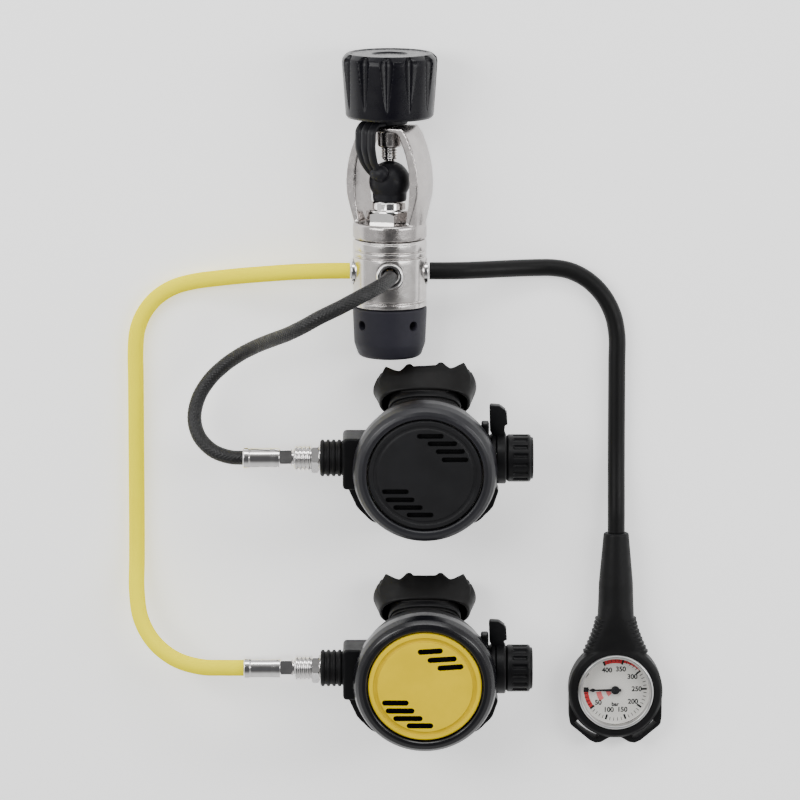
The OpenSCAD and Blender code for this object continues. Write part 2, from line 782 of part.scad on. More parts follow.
at_first_stage() first_stage_body();
at_first_stage() yoke();
at_first_stage() yoke_retainer();
at_first_stage() yoke_screw();
at_first_stage() yoke_knob();
at_first_stage() dust_cap();
at_first_stage() end_cap();
at_first_stage() main_spring();
at_first_stage() spring_adjuster();
at_first_stage() first_stage_diaphragm();
at_first_stage() first_stage_poppet();
at_first_stage() first_stage_poppet_spring();
at_first_stage() inlet_filter();
at_first_stage() port_plugs();
at_first_stage() port_fittings();
color("yellow") swept_tube(octopus_route, octopus_hose_d);  // octopus_hose
color(rubber) swept_tube(primary_route, primary_hose_d);  // primary_hose
color(rubber) swept_tube(gauge_route, gauge_hose_d);  // gauge_hose
for (y = [primary_y, octopus_y]) at_stage(y) stage_ferrule();  // hose_ferrules
for (y = [primary_y, octopus_y]) at_stage(y) stage_mouthpiece_tie();  // mouthpiece_ties
at_stage(primary_y) stage_swivel_nut();  // primary_swivel_nut
at_stage(primary_y) stage_inlet_collar();  // primary_inlet_collar
at_stage(primary_y) stage_case();  // primary_case
at_stage(primary_y) stage_cover_ring();  // primary_cover_ring
at_stage(primary_y) stage_purge_cover(charcoal, 4);  // primary_purge_cover
at_stage(primary_y) stage_diaphragm();  // primary_diaphragm
at_stage(primary_y) stage_demand_lever();  // primary_demand_lever
at_stage(primary_y) stage_valve_barrel();  // primary_valve_barrel
at_stage(primary_y) stage_poppet();  // primary_poppet
at_stage(primary_y) stage_poppet_spring();  // primary_poppet_spring
at_stage(primary_y) stage_adjust_screw();  // primary_adjust_screw
at_stage(primary_y) stage_adjust_knob();  // primary_adjust_knob
at_stage(primary_y) stage_venturi_lever();  // primary_venturi_lever
at_stage(primary_y) stage_exhaust_valve();  // primary_exhaust_valve
at_stage(primary_y) stage_exhaust_tee();  // primary_exhaust_tee
at_stage(primary_y) stage_mouthpiece();  // primary_mouthpiece
at_stage(octopus_y) stage_swivel_nut();  // octopus_swivel_nut
at_stage(octopus_y) stage_inlet_collar();  // octopus_inlet_collar
at_stage(octopus_y) stage_case();  // octopus_case
at_stage(octopus_y) stage_cover_ring();  // octopus_cover_ring
at_stage(octopus_y) stage_purge_cover(yellow, 3);  // octopus_purge_cover
at_stage(octopus_y) stage_diaphragm();  // octopus_diaphragm
at_stage(octopus_y) stage_demand_lever();  // octopus_demand_lever
at_stage(octopus_y) stage_valve_barrel();  // octopus_valve_barrel
at_stage(octopus_y) stage_poppet();  // octopus_poppet
at_stage(octopus_y) stage_poppet_spring();  // octopus_poppet_spring
at_stage(octopus_y) stage_adjust_screw();  // octopus_adjust_screw
at_stage(octopus_y) stage_adjust_knob();  // octopus_adjust_knob
at_stage(octopus_y) stage_venturi_lever();  // octopus_venturi_lever
at_stage(octopus_y) stage_exhaust_valve();  // octopus_exhaust_valve
at_stage(octopus_y) stage_exhaust_tee();  // octopus_exhaust_tee
at_stage(octopus_y) stage_mouthpiece();  // octopus_mouthpiece
at_gauge() gauge_boot();
at_gauge() gauge_case();
at_gauge() gauge_bezel();
at_gauge() gauge_lens();
at_gauge() gauge_dial();
at_gauge() gauge_needle();
at_gauge() gauge_bourdon_tube();
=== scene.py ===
"""Scuba regulator set laid out on a pale table, seen from above. Lengths in the helpers are millimetres."""
import json
from math import acos, asin, atan2, ceil, copysign, cos, degrees, dist, hypot, pi, radians, sin, sqrt, tan

import bmesh
import bpy
import numpy as np
from mathutils import Matrix, Vector


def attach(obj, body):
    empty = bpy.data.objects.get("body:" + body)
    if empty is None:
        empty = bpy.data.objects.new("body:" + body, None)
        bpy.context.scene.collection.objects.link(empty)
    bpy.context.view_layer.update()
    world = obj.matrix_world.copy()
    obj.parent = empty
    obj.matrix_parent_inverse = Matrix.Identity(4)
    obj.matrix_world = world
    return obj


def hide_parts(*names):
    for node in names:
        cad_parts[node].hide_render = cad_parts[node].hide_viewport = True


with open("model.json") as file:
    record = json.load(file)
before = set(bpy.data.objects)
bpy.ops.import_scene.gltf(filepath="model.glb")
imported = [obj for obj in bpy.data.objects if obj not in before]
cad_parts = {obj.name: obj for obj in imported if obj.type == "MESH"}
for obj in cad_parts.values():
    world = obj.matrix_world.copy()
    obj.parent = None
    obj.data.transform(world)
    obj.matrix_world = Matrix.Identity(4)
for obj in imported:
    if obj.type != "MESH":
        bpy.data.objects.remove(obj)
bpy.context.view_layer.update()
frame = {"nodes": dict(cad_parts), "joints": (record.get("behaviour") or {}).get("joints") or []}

MM = 0.001
ROOT = "regulator_set"
JOINTS = {j["name"]: j for j in frame["joints"]}
NODES = frame["nodes"]


# ---- Places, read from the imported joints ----

def turn(axis, angle):
    """A rotation by degrees about an axis."""
    return Matrix.Rotation(radians(angle), 4, axis)


def shift(x, y, z):
    return Matrix.Translation((x, y, z))


def joint_point(name):
    return [c / MM for c in JOINTS[name]["pos_m"]]


CAP_BALL_Z = 29.7
first_axis = Vector(JOINTS["dust_cap_swing"]["axis"])
first_point = Vector(joint_point("dust_cap_swing")) - first_axis * CAP_BALL_Z
FIRST = shift(*first_point) @ turn("X", -90 + degrees(asin(first_axis.z)))
BARREL_Y, BARREL_Z, VENTURI_X = 2.5, -23, 39
STAGE = {}
for which in ("primary", "octopus"):
    lean_axis = Vector(JOINTS[f"{which}_purge_press"]["axis"])
    tilt = turn("X", degrees(atan2(lean_axis.y, -lean_axis.z)))
    hub = Vector(joint_point(f"{which}_venturi_turn"))
    STAGE[which] = shift(*(hub - tilt @ Vector((VENTURI_X, BARREL_Y, BARREL_Z)))) @ tilt
IN_BARREL = shift(0, BARREL_Y, BARREL_Z)
IN_MOUTH = shift(0, 14, -30) @ turn("X", 36)
IN_SEAT = shift(0, -17, -37.5) @ turn("X", -15)
needle_at = joint_point("gauge_needle_turn")
GAUGE = shift(needle_at[0], needle_at[1], 0)


# ---- Meshes ----

def corner(points, n=4):
    """A polyline with its corners rounded. A point's third number is its radius."""
    out = []
    for i, p in enumerate(points):
        if len(p) < 3 or i in (0, len(points) - 1):
            out.append((p[0], p[1]))
            continue
        here = np.array(p[:2], float)
        a = np.array(points[i - 1][:2], float) - here
        b = np.array(points[i + 1][:2], float) - here
        la, lb = np.linalg.norm(a), np.linalg.norm(b)
        a, b = a / la, b / lb
        half = acos(max(-1.0, min(1.0, float(a @ b)))) / 2
        trim = min(p[2] / tan(half), 0.48 * la, 0.48 * lb)
        r = trim * tan(half)
        centre = here + (a + b) / np.linalg.norm(a + b) * r / sin(half)
        s, e = here + a * trim - centre, here + b * trim - centre
        sweep = atan2(s[0] * e[1] - s[1] * e[0], float(s @ e))
        for k in range(n + 1):
            t = sweep * k / n
            c, d = cos(t), sin(t)
            out.append((centre[0] + s[0] * c - s[1] * d, centre[1] + s[0] * d + s[1] * c))
    return out


def dense(points, step):
    """A polyline with no span longer than step."""
    out = [points[0]]
    for a, b in zip(points, points[1:]):
        n = max(1, ceil(dist(a, b) / step))
        out += [tuple(a[k] + (b[k] - a[k]) * i / n for k in range(len(a))) for i in range(1, n + 1)]
    return out


NEAR_AXIS = 1e-4                # a radius that merges into one point
WELD, SLIVER = 2e-6, 1e-7       # metres between points that are joined, and the shortest edge kept


def around(n):
    """n angles, once round."""
    return [2 * pi * k / n for k in range(n)]


def linked(name, data):
    """A new object in the scene."""
    obj = bpy.data.objects.new(name, data)
    bpy.context.scene.collection.objects.link(obj)
    return obj


def evaluated(obj):
    """An object's mesh as its modifiers leave it."""
    bpy.context.view_layer.update()
    return bpy.data.meshes.new_from_object(obj.evaluated_get(bpy.context.evaluated_depsgraph_get()))


def rod(r, z0, z1):
    """The profile of a plain solid of revolution, mostly for cutting."""
    return [(0, z0), (r, z0), (r, z1), (0, z1)]


class Shape:
    """Vertices in millimetres and faces, put together from simple forms."""

    def __init__(self):
        self.verts, self.faces = [], []

    def add(self, verts, faces, at=None):
        base = len(self.verts)
        self.verts += [tuple(at @ Vector(v)) if at else tuple(v) for v in verts]
        self.faces += [tuple(base + i for i in f) for f in faces]
        return self

    def loft(self, rings, at=None, ends=True, round_trip=False):
        n, verts, faces = len(rings[0]), [p for r in rings for p in r], []
        spans = len(rings) if round_trip else len(rings) - 1
        for i in range(spans):
            a, b = i * n, (i + 1) % len(rings) * n
            faces += [(a + k, a + (k + 1) % n, b + (k + 1) % n, b + k) for k in range(n)]
        if ends and not round_trip:
            faces += [tuple(range(n))[::-1], tuple(range(len(verts) - n, len(verts)))]
        return self.add(verts, faces, at)

    def lathe(self, profile, segs=96, at=None, reach=None):
        """A profile of (r, z) turned about Z. It closes on itself unless its ends are on the axis."""
        rings = []
        for r, z in profile:
            radii = [(a, reach(a, r, z) if reach else max(r, NEAR_AXIS)) for a in around(segs)]
            rings.append([(q * cos(a), q * sin(a), z) for a, q in radii])
        on_axis = profile[0][0] < 1e-3 and profile[-1][0] < 1e-3
        return self.loft(rings, at, ends=on_axis, round_trip=not on_axis)

    def prism(self, outline, z0, z1, at=None):
        return self.loft([[(x, y, z) for x, y in outline] for z in (z0, z1)], at)

    def box(self, low, high, at=None):
        (a, b, c), (d, e, f) = low, high
        return self.prism([(a, b), (d, b), (d, e), (a, e)], c, f, at)

    def ball(self, centre, radii, at=None, n=40):
        rx, ry, rz = radii
        rings = []
        for i in range(n // 2 + 1):
            p = pi * i / (n // 2)
            s = max(sin(p), NEAR_AXIS)
            rings.append([(centre[0] + rx * s * cos(q), centre[1] + ry * s * sin(q),
                           centre[2] - rz * cos(p)) for q in around(n)])
        return self.loft(rings, at)

    def mesh(self, name, at=None):
        mesh = bpy.data.meshes.new(name)
        put = Matrix.Scale(MM, 4) @ (at or Matrix.Identity(4))
        mesh.from_pydata([tuple(put @ Vector(v)) for v in self.verts], [], self.faces)
        bm = bmesh.new()
        bm.from_mesh(mesh)
        bmesh.ops.remove_doubles(bm, verts=bm.verts, dist=WELD)
        bmesh.ops.dissolve_degenerate(bm, edges=bm.edges, dist=SLIVER)
        bmesh.ops.recalc_face_normals(bm, faces=bm.faces)
        bm.to_mesh(mesh)
        bm.free()
        return mesh

    def object(self, name, at=None):
        return linked(name, self.mesh(name, at))


def spun(profile, segs=96, at=None, reach=None):
    return Shape().lathe(profile, segs, at, reach)


def settle(obj):
    """Applies an object's modifiers."""
    mesh, old = evaluated(obj), obj.data
    obj.modifiers.clear()
    obj.data = mesh
    bpy.data.meshes.remove(old)
    return obj


def bevelled(obj, width, segments=3, angle=30):
    m = obj.modifiers.new("bevel", "BEVEL")
    m.width, m.segments, m.limit_method, m.angle_limit = width * MM, segments, "ANGLE", radians(angle)
    return settle(obj)


def cut(obj, shape, at=None, operation="DIFFERENCE", solver="EXACT"):
    tool = shape.object("cutter", at)
    m = obj.modifiers.new("cut", "BOOLEAN")
    m.object, m.operation, m.solver = tool, operation, solver
    settle(obj)
    bpy.data.objects.remove(tool)
    return obj


def bore(obj, shape, at=None):
    """A quicker cut, for a closed form that has been fused."""
    return cut(obj, shape, at, solver="MANIFOLD")


def melted(obj, voxel, rounds):
    """Fuses overlapping forms into one skin with small fillets."""
    m = obj.modifiers.new("fuse", "REMESH")
    m.mode, m.voxel_size = "VOXEL", voxel * MM
    s = obj.modifiers.new("ease", "SMOOTH")
    s.iterations = rounds
    return settle(obj)


def finish(obj, body, slot, *materials, instead=(), sharp=40):
    """Shades a piece, gives it its materials and puts it on its body."""
    obj.data.materials.clear()
    for m in materials:
        obj.data.materials.append(m)
    obj.data.polygons.foreach_set("use_smooth", [True] * len(obj.data.polygons))
    obj.data.set_sharp_from_angle(angle=radians(sharp))
    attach(obj, body)
    if instead:
        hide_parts(*instead)


# ---- Materials ----

def fill_ramp(ramp, stops):
    """Sets a colour ramp from its (position, colour) stops."""
    for element, (at, colour) in zip(ramp.elements, (stops[0], stops[-1])):
        element.position, element.color = at, (*colour, 1)
    for at, colour in stops[1:-1]:
        ramp.elements.new(at).color = (*colour, 1)


def fill_inputs(node, values):
    for key, value in values.items():
        node.inputs[key.replace("_", " ")].default_value = value


class Nodes:
    """One node material around a Principled shader."""

    def __init__(self, name):
        self.material = bpy.data.materials.new(name)
        self.material.use_nodes = True
        self.tree = self.material.node_tree
        self.shader = self.tree.nodes["Principled BSDF"]
        self.place = self.node("TexCoord").outputs["Object"]

    def node(self, kind, **values):
        node = self.tree.nodes.new(f"ShaderNode{kind}")
        fill_inputs(node, values)
        return node

    def set(self, **values):
        fill_inputs(self.shader, values)

    def link(self, a, b):
        self.tree.links.new(a, b)

    def stretched(self, scale):
        m = self.node("Mapping", Scale=scale)
        self.link(self.place, m.inputs["Vector"])
        return m.outputs["Vector"]

    def noise(self, scale, detail=4, rough=0.55, vector=None):
        n = self.node("TexNoise", Scale=scale, Detail=detail, Roughness=rough)
        self.link(vector or self.place, n.inputs["Vector"])
        return n.outputs["Fac"]

    def ramp(self, source, stops):
        r = self.node("ValToRGB")
        fill_ramp(r.color_ramp, stops)
        self.link(source, r.inputs["Fac"])
        return r.outputs["Color"]

    def span(self, source, low, high):
        m = self.node("MapRange", From_Min=0.3, From_Max=0.7, To_Min=low, To_Max=high)
        self.link(source, m.inputs["Value"])
        return m.outputs["Result"]

    def colour(self, source, low, high, a=0.35, b=0.65):
        self.link(self.ramp(source, [(a, low), (b, high)]), self.shader.inputs["Base Color"])

    def rough(self, source, low, high):
        self.link(self.span(source, low, high), self.shader.inputs["Roughness"])

    def bump(self, *layers):
        """Layers of (source, strength, height in mm)."""
        last = None
        for source, strength, height in layers:
            b = self.node("Bump", Strength=strength, Distance=height * MM)
            self.link(source, b.inputs["Height"])
            if last:
                self.link(last, b.inputs["Normal"])
            last = b.outputs["Normal"]
        self.link(last, self.shader.inputs["Normal"])


def tone(colour, k):
    return tuple(min(1.0, c * k) for c in colour)


def moulded(name, colour, rough=(0.4, 0.5), grain=1800, height=0.03, spread=0.14, specular=0.18):
    """Moulded rubber or plastic: a fine grain and a slow change of tone."""
    n = Nodes(name)
    n.colour(n.noise(60, 5), tone(colour, 1 - spread), tone(colour, 1 + spread))
    n.rough(n.noise(220, 5), *rough)
    n.bump((n.noise(grain, 3), 0.35, height), (n.noise(90, 2), 0.15, 0.1))
    n.set(Specular_IOR_Level=specular)
    return n.material


def metal(name, colour, rough=(0.18, 0.28), grain=(900, 60, 900), scale=1.0, strength=0.12, spread=0.06):
    """Plated or brushed metal, with its grain along one way and faint handling marks."""
    n = Nodes(name)
    lines = n.noise(scale, 3, 0.6, n.stretched(grain))
    n.colour(n.noise(140, 5), tone(colour, 1 - spread), tone(colour, 1 + spread))
    n.rough(n.noise(300, 6), *rough)
    n.bump((lines, strength, 0.02), (n.noise(70, 2), 0.03, 0.03))
    n.set(Metallic=1.0)
    return n.material


RUBBER = moulded("rubber", (0.004, 0.004, 0.0044), (0.46, 0.6), 1500, 0.04)
HOSE_RUBBER = moulded("hose_rubber", (0.0038, 0.0038, 0.004), (0.42, 0.52), 1200, 0.03)
PLASTIC = moulded("black_plastic", (0.0034, 0.0034, 0.004), (0.36, 0.46), 2200, 0.02)
RING_SATIN = moulded("ring_satin", (0.0085, 0.0085, 0.0115), (0.34, 0.42), 2400, 0.015, specular=0.5)
RING_GLOSS = moulded("ring_gloss", (0.0025, 0.0025, 0.004), (0.2, 0.28), 1800, 0.01, specular=0.5)
COVER_DARK = moulded("cover_dark", (0.011, 0.011, 0.012), (0.4, 0.5), 2400, 0.02)
COVER_YELLOW = moulded("cover_yellow", (0.78, 0.56, 0.0), (0.3, 0.4), 1800, 0.012, 0.05, specular=0.12)
# Darker yellow for the octopus purge cover's groove: painted shade in the recess.
COVER_GROOVE_SHADE = moulded("cover_groove_shade", (0.6, 0.41, 0.0), (0.34, 0.44), 1800, 0.012, 0.08, specular=0.1)
KNOB = moulded("knob", (0.0032, 0.003, 0.0052), (0.24, 0.34), 2600, 0.02, 0.1, specular=0.22)
END_CAP = moulded("end_cap", (0.02, 0.0195, 0.027), (0.44, 0.54), 2600, 0.02, 0.1)
CAP_RUBBER = moulded("cap_rubber", (0.0085, 0.0085, 0.0105), (0.38, 0.5), 1400, 0.03)
MOUTH = moulded("mouth_silicone", (0.0042, 0.004, 0.004), (0.4, 0.52), 1100, 0.03)
YELLOW_HOSE = moulded("yellow_hose", (1.0, 0.86, 0.0), (0.4, 0.5), 1300, 0.02, 0.015, specular=0.0)
SILICONE = moulded("clear_silicone", (0.5, 0.49, 0.45), (0.35, 0.5), 1200, 0.02)
NICKEL = metal("satin_nickel", (0.44, 0.415, 0.405), (0.2, 0.3), (500, 500, 500), 1.6, 0.1)
PEARL = metal("pearl_chrome", (0.6, 0.575, 0.56), (0.17, 0.25), (60, 2600, 60), 1.0, 0.12)
CHROME = metal("bright_chrome", (0.86, 0.845, 0.835), (0.07, 0.14), (400, 400, 400), 1.0, 0.05)
STEEL = metal("spring_steel", (0.55, 0.55, 0.56), (0.22, 0.36))
BRASS = metal("turned_brass", (0.62, 0.46, 0.24), (0.22, 0.36))
BRONZE = metal("sintered_bronze", (0.42, 0.29, 0.17), (0.45, 0.6), (2500, 2500, 2500), 1.0, 0.8, 0.2)
BEZEL = metal("bezel_steel", (0.7, 0.7, 0.69), (0.28, 0.36), (800, 800, 800), 1.0, 0.06)
DIAL = moulded("dial_white", (0.84, 0.825, 0.78), (0.5, 0.6), 900, 0.005, 0.02)
INK = moulded("dial_ink", (0.012, 0.012, 0.014), (0.4, 0.5), 900, 0.005)
RED = moulded("dial_red", (0.72, 0.045, 0.05), (0.4, 0.5), 900, 0.005, 0.05)
PINK = moulded("dial_pink", (0.86, 0.2, 0.2), (0.4, 0.5), 900, 0.005, 0.05)


# ---- Camera, light and table ----

VIEW_TILT, VIEW_WIDTH, VIEW_FAR, SENSOR = 8, 416, 2600, 36        # degrees, then mm
target = Vector((-28.4, 1.4, 20))        # the middle of the picture
back = Vector((0, sin(radians(VIEW_TILT)), cos(radians(VIEW_TILT))))
camera = linked("camera", bpy.data.cameras.new("camera"))
camera.data.sensor_width = SENSOR
camera.data.lens = SENSOR * VIEW_FAR / VIEW_WIDTH
camera.data.clip_end = 20
camera.location = (target + back * VIEW_FAR) * MM
camera.rotation_euler = (radians(-VIEW_TILT), 0, 0)
bpy.context.scene.camera = camera


def softbox(name, place, size, power):
    """A rectangular area light aimed at the origin."""
    light = bpy.data.lights.new(name, "AREA")
    light.shape, light.size, light.size_y, light.energy = "RECTANGLE", size[0], size[1], power
    obj = linked(name, light)
    obj.location = place
    obj.rotation_euler = (-Vector(place)).to_track_quat("-Z", "Y").to_euler()


softbox("key", (-0.8, 0.35, 0.95), (0.5, 0.9), 10)
softbox("fill", (0.9, 0.2, 0.85), (0.35, 0.9), 7)
softbox("top", (0.05, 1.0, 0.8), (1.0, 0.3), 5.5)
world = bpy.data.worlds.new("studio")
bpy.context.scene.world = world
world.use_nodes = True
sky = world.node_tree
ramp = sky.nodes.new("ShaderNodeValToRGB")
split = sky.nodes.new("ShaderNodeSeparateXYZ")
sky.links.new(sky.nodes.new("ShaderNodeTexCoord").outputs["Generated"], split.inputs["Vector"])
sky.links.new(split.outputs["Z"], ramp.inputs["Fac"])
sky.links.new(ramp.outputs["Color"], sky.nodes["Background"].inputs["Color"])
SKY = ((0.12, 1.15), (0.45, 1.2), (0.72, 0.95), (0.86, 0.35), (0.95, 0.15))
fill_ramp(ramp.color_ramp, [
    (0.0, (1.1, 1.1, 1.12)), *((at, (v, v, v)) for at, v in SKY), (1.0, (0.14, 0.14, 0.15))])
sky.nodes["Background"].inputs["Strength"].default_value = 0.72

TABLE_HALF, TABLE_TOP = 4000, -0.06
floor = Shape().box((-TABLE_HALF, -TABLE_HALF, -2), (TABLE_HALF, TABLE_HALF, TABLE_TOP)).object("table")
paper = Nodes("table")
paper.colour(paper.noise(3, 2), (0.9, 0.9, 0.9), (0.92, 0.92, 0.92))
paper.set(Roughness=0.7, Emission_Strength=0.65)
paper.shader.inputs["Emission Color"].default_value = (1, 1, 1, 1)
floor.data.materials.append(paper.material)


# ---- Hoses, along the routes of part.scad ----

ROUTES = {
    "octopus": [
        (-54.3, 69, 20), (-60, 69, 20), (-70, 68.8, 19.4), (-84, 68, 17), (-98, 66.6, 13),
        (-112, 65, 8.8), (-124, 63.4, 5.8), (-136, 61.6, 4.5), (-146.5, 58.6, 4.3),
        (-155.2, 53.2, 4.3), (-161.6, 45.6, 4.3), (-165.4, 36.6, 4.3), (-166.5, 27, 4.3),
        (-166.5, 10, 4.3), (-166.5, -10, 4.3), (-166.5, -30, 4.3), (-166.5, -50, 4.3),
        (-166.5, -68, 4.6), (-166.5, -84, 6.6), (-166.4, -101, 12.2), (-163.9, -114.6, 19),
        (-156.6, -125.8, 26), (-145.4, -133.4, 32), (-131.8, -136.6, 36.6),
        (-120, -136.7, 38.3), (-109.6, -136.7, 38.5)],
    "primary": [
        (-33.7, 68, 40.8), (-33.7, 67.9, 45.5), (-36, 67, 56), (-41, 65, 65.8),
        (-49, 61.5, 72.5), (-59, 56.5, 75.6), (-69, 51.5, 74.8), (-78, 46, 70.4),
        (-85.5, 41.5, 63.2), (-92, 38, 54.4), (-97.5, 34.8, 45), (-103.5, 31.3, 36.6),
        (-111, 26.6, 29.8), (-119.3, 20.4, 25.4), (-127.2, 12.6, 24), (-133, 3.2, 25.4),
        (-135, -7, 28.8), (-132.3, -16, 32.8), (-125.2, -22.8, 36.2), (-116.5, -25.8, 38.1),
        (-109.6, -26.2, 38.5)],
    "gauge": [
        (-13.1, 69, 20), (-6, 69, 20), (4, 69, 18.8), (15, 69, 15.2), (26, 69, 10.6),
        (36, 69, 7), (44, 69, 5.2), (51, 68.9, 4.7), (60.4, 67.2, 4.6), (69.8, 62.2, 4.6),
        (77.6, 54.2, 4.6), (82.8, 44, 4.6), (84.9, 33, 4.6), (84.9, 20, 4.6), (84.9, 4, 4.6),
        (84.9, -12, 4.6), (84.9, -26, 4.9), (84.9, -38, 6), (84.9, -50, 8),
        (84.9, -60, 9.4), (84.9, -65, 9.5), (84.9, -70, 9.5)],
}


def smoothed(points, step):
    """A centripetal Catmull-Rom line through the points, sampled at an even step."""
    p = [np.array(q, float) for q in points]
    p = [2 * p[0] - p[1], *p, 2 * p[-1] - p[-2]]
    fine = []
    for a, b, c, d in zip(p, p[1:], p[2:], p[3:]):
        t1 = np.linalg.norm(b - a) ** 0.5
        t2 = t1 + np.linalg.norm(c - b) ** 0.5
        t3 = t2 + np.linalg.norm(d - c) ** 0.5
        for t in np.linspace(t1, t2, SPAN_SAMPLES, endpoint=False):
            u = (t1 - t) / t1 * a + t / t1 * b
            v = (t2 - t) / (t2 - t1) * b + (t - t1) / (t2 - t1) * c
            w = (t3 - t) / (t3 - t2) * c + (t - t2) / (t3 - t2) * d
            q = (t2 - t) / t2 * u + t / t2 * v
            r = (t3 - t) / (t3 - t1) * v + (t - t1) / (t3 - t1) * w
            fine.append((t2 - t) / (t2 - t1) * q + (t - t1) / (t2 - t1) * r)
    fine = np.array([*fine, p[-2]])
    run = np.concatenate([[0], np.cumsum(np.linalg.norm(np.diff(fine, axis=0), axis=1))])
    at = np.linspace(0, run[-1], int(run[-1] / step) + 1)
    return np.stack([np.interp(at, run, fine[:, k]) for k in range(3)], 1), at


def tube(name, line, run, radius, sides):
    """A tube along a line. radius(angle, run) gives its surface, and its ends are closed."""
    heading = np.gradient(line, axis=0)
    heading /= np.linalg.norm(heading, axis=1)[:, None]
    side = np.cross(heading[0], (0.31, 0.12, 0.94))
    angles = 2 * np.pi * np.arange(sides) / sides
    rings = []
    for p, d, s in zip(line, heading, run):
        side = side - d * (side @ d)
        side /= np.linalg.norm(side)
        r = radius(angles, s)[:, None]
        rings.append(p + r * (np.cos(angles)[:, None] * side + np.sin(angles)[:, None] * np.cross(d, side)))
    return Shape().loft([[tuple(v) for v in ring] for ring in rings]).object(name)


def plain_hose(radius):
    return lambda angles, s: np.full(len(angles), radius)


STRANDS, CELL, BRAID_DEPTH = 12, 1.95, 0.5


def braid(radius):
    """Over and under, two families of flat strands wound opposite ways."""
    def surface(angles, s):
        a = STRANDS * angles / (2 * np.pi) + s / CELL
        b = STRANDS * angles / (2 * np.pi) - s / CELL
        over = (np.floor(a) + np.floor(b)) % 2
        u, v = 2 * (a % 1) - 1, 2 * (b % 1) - 1
        across, along = np.where(over, u, v), np.where(over, v, u)
        return radius - BRAID_DEPTH + BRAID_DEPTH * (1 - 0.8 * across ** 4) * (1 - 0.5 * along ** 2)
    return surface


woven = Nodes("braided_sleeve")
woven.colour(woven.noise(300, 4), (0.0022, 0.0022, 0.0024), (0.007, 0.007, 0.0075))
woven.set(Specular_IOR_Level=0.4)
woven.rough(woven.noise(400, 3), 0.32, 0.46)
woven.bump((woven.noise(5200, 3), 0.5, 0.03))
PATH_STEP, SPAN_SAMPLES = 3.0, 24
HOSES = {        # diameter, sides, step along it, skin, material and slot
    "octopus": (8.3, 32, 2.0, plain_hose, YELLOW_HOSE, "yellow_hose"),
    "primary": (7.5, 80, 0.29, braid, woven.material, "black_braid"),
    "gauge": (9, 32, 2.0, plain_hose, HOSE_RUBBER, "black_rubber"),
}
for which, (diameter, sides, step, skin, material, slot) in HOSES.items():
    line, run = smoothed(ROUTES[which], step)
    piece = tube(f"{which}_hose_tube", line, run, skin(diameter / 2), sides)
    finish(piece, ROOT, slot, material, instead=[f"{which}_hose"], sharp=60)
    coarse = smoothed(ROUTES[which], PATH_STEP)[0] * MM
    tuple(c * MM for c in ROUTES[which][0])


# ---- First stage ----

def arc(centre, r, a, b, n):
    return [(centre[0] + r * cos(radians(a + (b - a) * i / n)),
             centre[1] + r * sin(radians(a + (b - a) * i / n))) for i in range(n + 1)]


KNOB_LOW, KNOB_TOP, KNOB_SIDE_R, KNOB_SHOULDER = 63.0, 96.4, 24.8, 92
FLUTES, FLUTE_TURN, FLUTE_TIP, FLUTE_HEAD, FLUTE_HALF, FLUTE_DEPTH = 12, -3.7, 67.5, 96.3, 3.7, 2.7
FLUTE_CORE = 12        # no flute reaches inside this radius


def knob_reach(angle, r, z):
    """The knob's radius, less a scoop at each flute that widens and deepens upwards."""
    if r < FLUTE_CORE or z < FLUTE_TIP:
        return r
    rise = min(1.0, (z - FLUTE_TIP) / (KNOB_SHOULDER - FLUTE_TIP))
    half, depth = FLUTE_HALF * rise ** 0.62, FLUTE_DEPTH * rise ** 0.8
    if z > KNOB_SHOULDER:
        head = sqrt(max(0.0, 1 - ((z - KNOB_SHOULDER) / (FLUTE_HEAD - KNOB_SHOULDER)) ** 2))
        half, depth = half * head, depth * head
    pitch = 360 / FLUTES
    off = (degrees(angle) + 90 - FLUTE_TURN + pitch / 2) % pitch - pitch / 2
    s = radians(off) * KNOB_SIDE_R
    if abs(s) >= half or half < 1e-6:
        return r
    return r - depth * (1 - (s / half) ** 2) ** 0.8


knob_side = corner([
    (4.6, KNOB_LOW + 0.9), (18.8, KNOB_LOW, 0.5), (21.6, KNOB_LOW, 0.6), (22.7, KNOB_LOW + 1.3, 1.0),
    (24.75, 92.0, 2.2), (24.3, 94.2, 1.5), (21.9, KNOB_TOP, 1.2), (20.6, KNOB_TOP, 0.3),
    (20.0, KNOB_TOP - 0.5, 0.3), (9.6, KNOB_TOP - 0.5, 0.3), (8.8, KNOB_TOP - 1.3, 0.3), (0, KNOB_TOP - 1.3)])
knob = spun([(0, 76.3), (4.6, 76.3)] + dense(knob_side, 0.8), 576, reach=knob_reach)
finish(knob.object("grip_knob", FIRST), "yoke_knob", "charcoal_gloss", KNOB, instead=["yoke_knob"], sharp=35)

# The screw's thread is one helical ridge
PITCH, SCREW_R, SCREW_LOW, THREAD_DEPTH, THREAD_END, THREAD_CORE = 1.4, 4.5, 40.6, 0.42, 61, 3.3


def thread(angle, r, z):
    """The screw's radius, less its thread."""
    if r < THREAD_CORE or z > THREAD_END:
        return r
    return r - THREAD_DEPTH * (0.5 - 0.5 * cos(2 * pi * (z / PITCH - angle / (2 * pi)))) ** 0.8


screw_line = [
    (0, SCREW_LOW), (2.9, SCREW_LOW), (3.1, SCREW_LOW), (SCREW_R, SCREW_LOW + 1.3), (SCREW_R, 76), (0, 76)]
screw = spun(dense(screw_line, 0.16), 64, reach=thread).object("clamp_screw", FIRST)
finish(screw, "yoke_screw", "bright_chrome", CHROME, instead=["yoke_screw"], sharp=60)

# Yoke: an arch of rounded section on a collar, run together as a casting
YOKE_TOP, YOKE_WINDOW, YOKE_WIDE, YOKE_ARM, YOKE_DEPTH = 59.4, 56.2, 29.6, 6.1, 10.0
YOKE_HALF, YOKE_FOOT, HEAD_TAPER, FOOT_TAPER = 21.6, 8.5, 8.6, 2.4


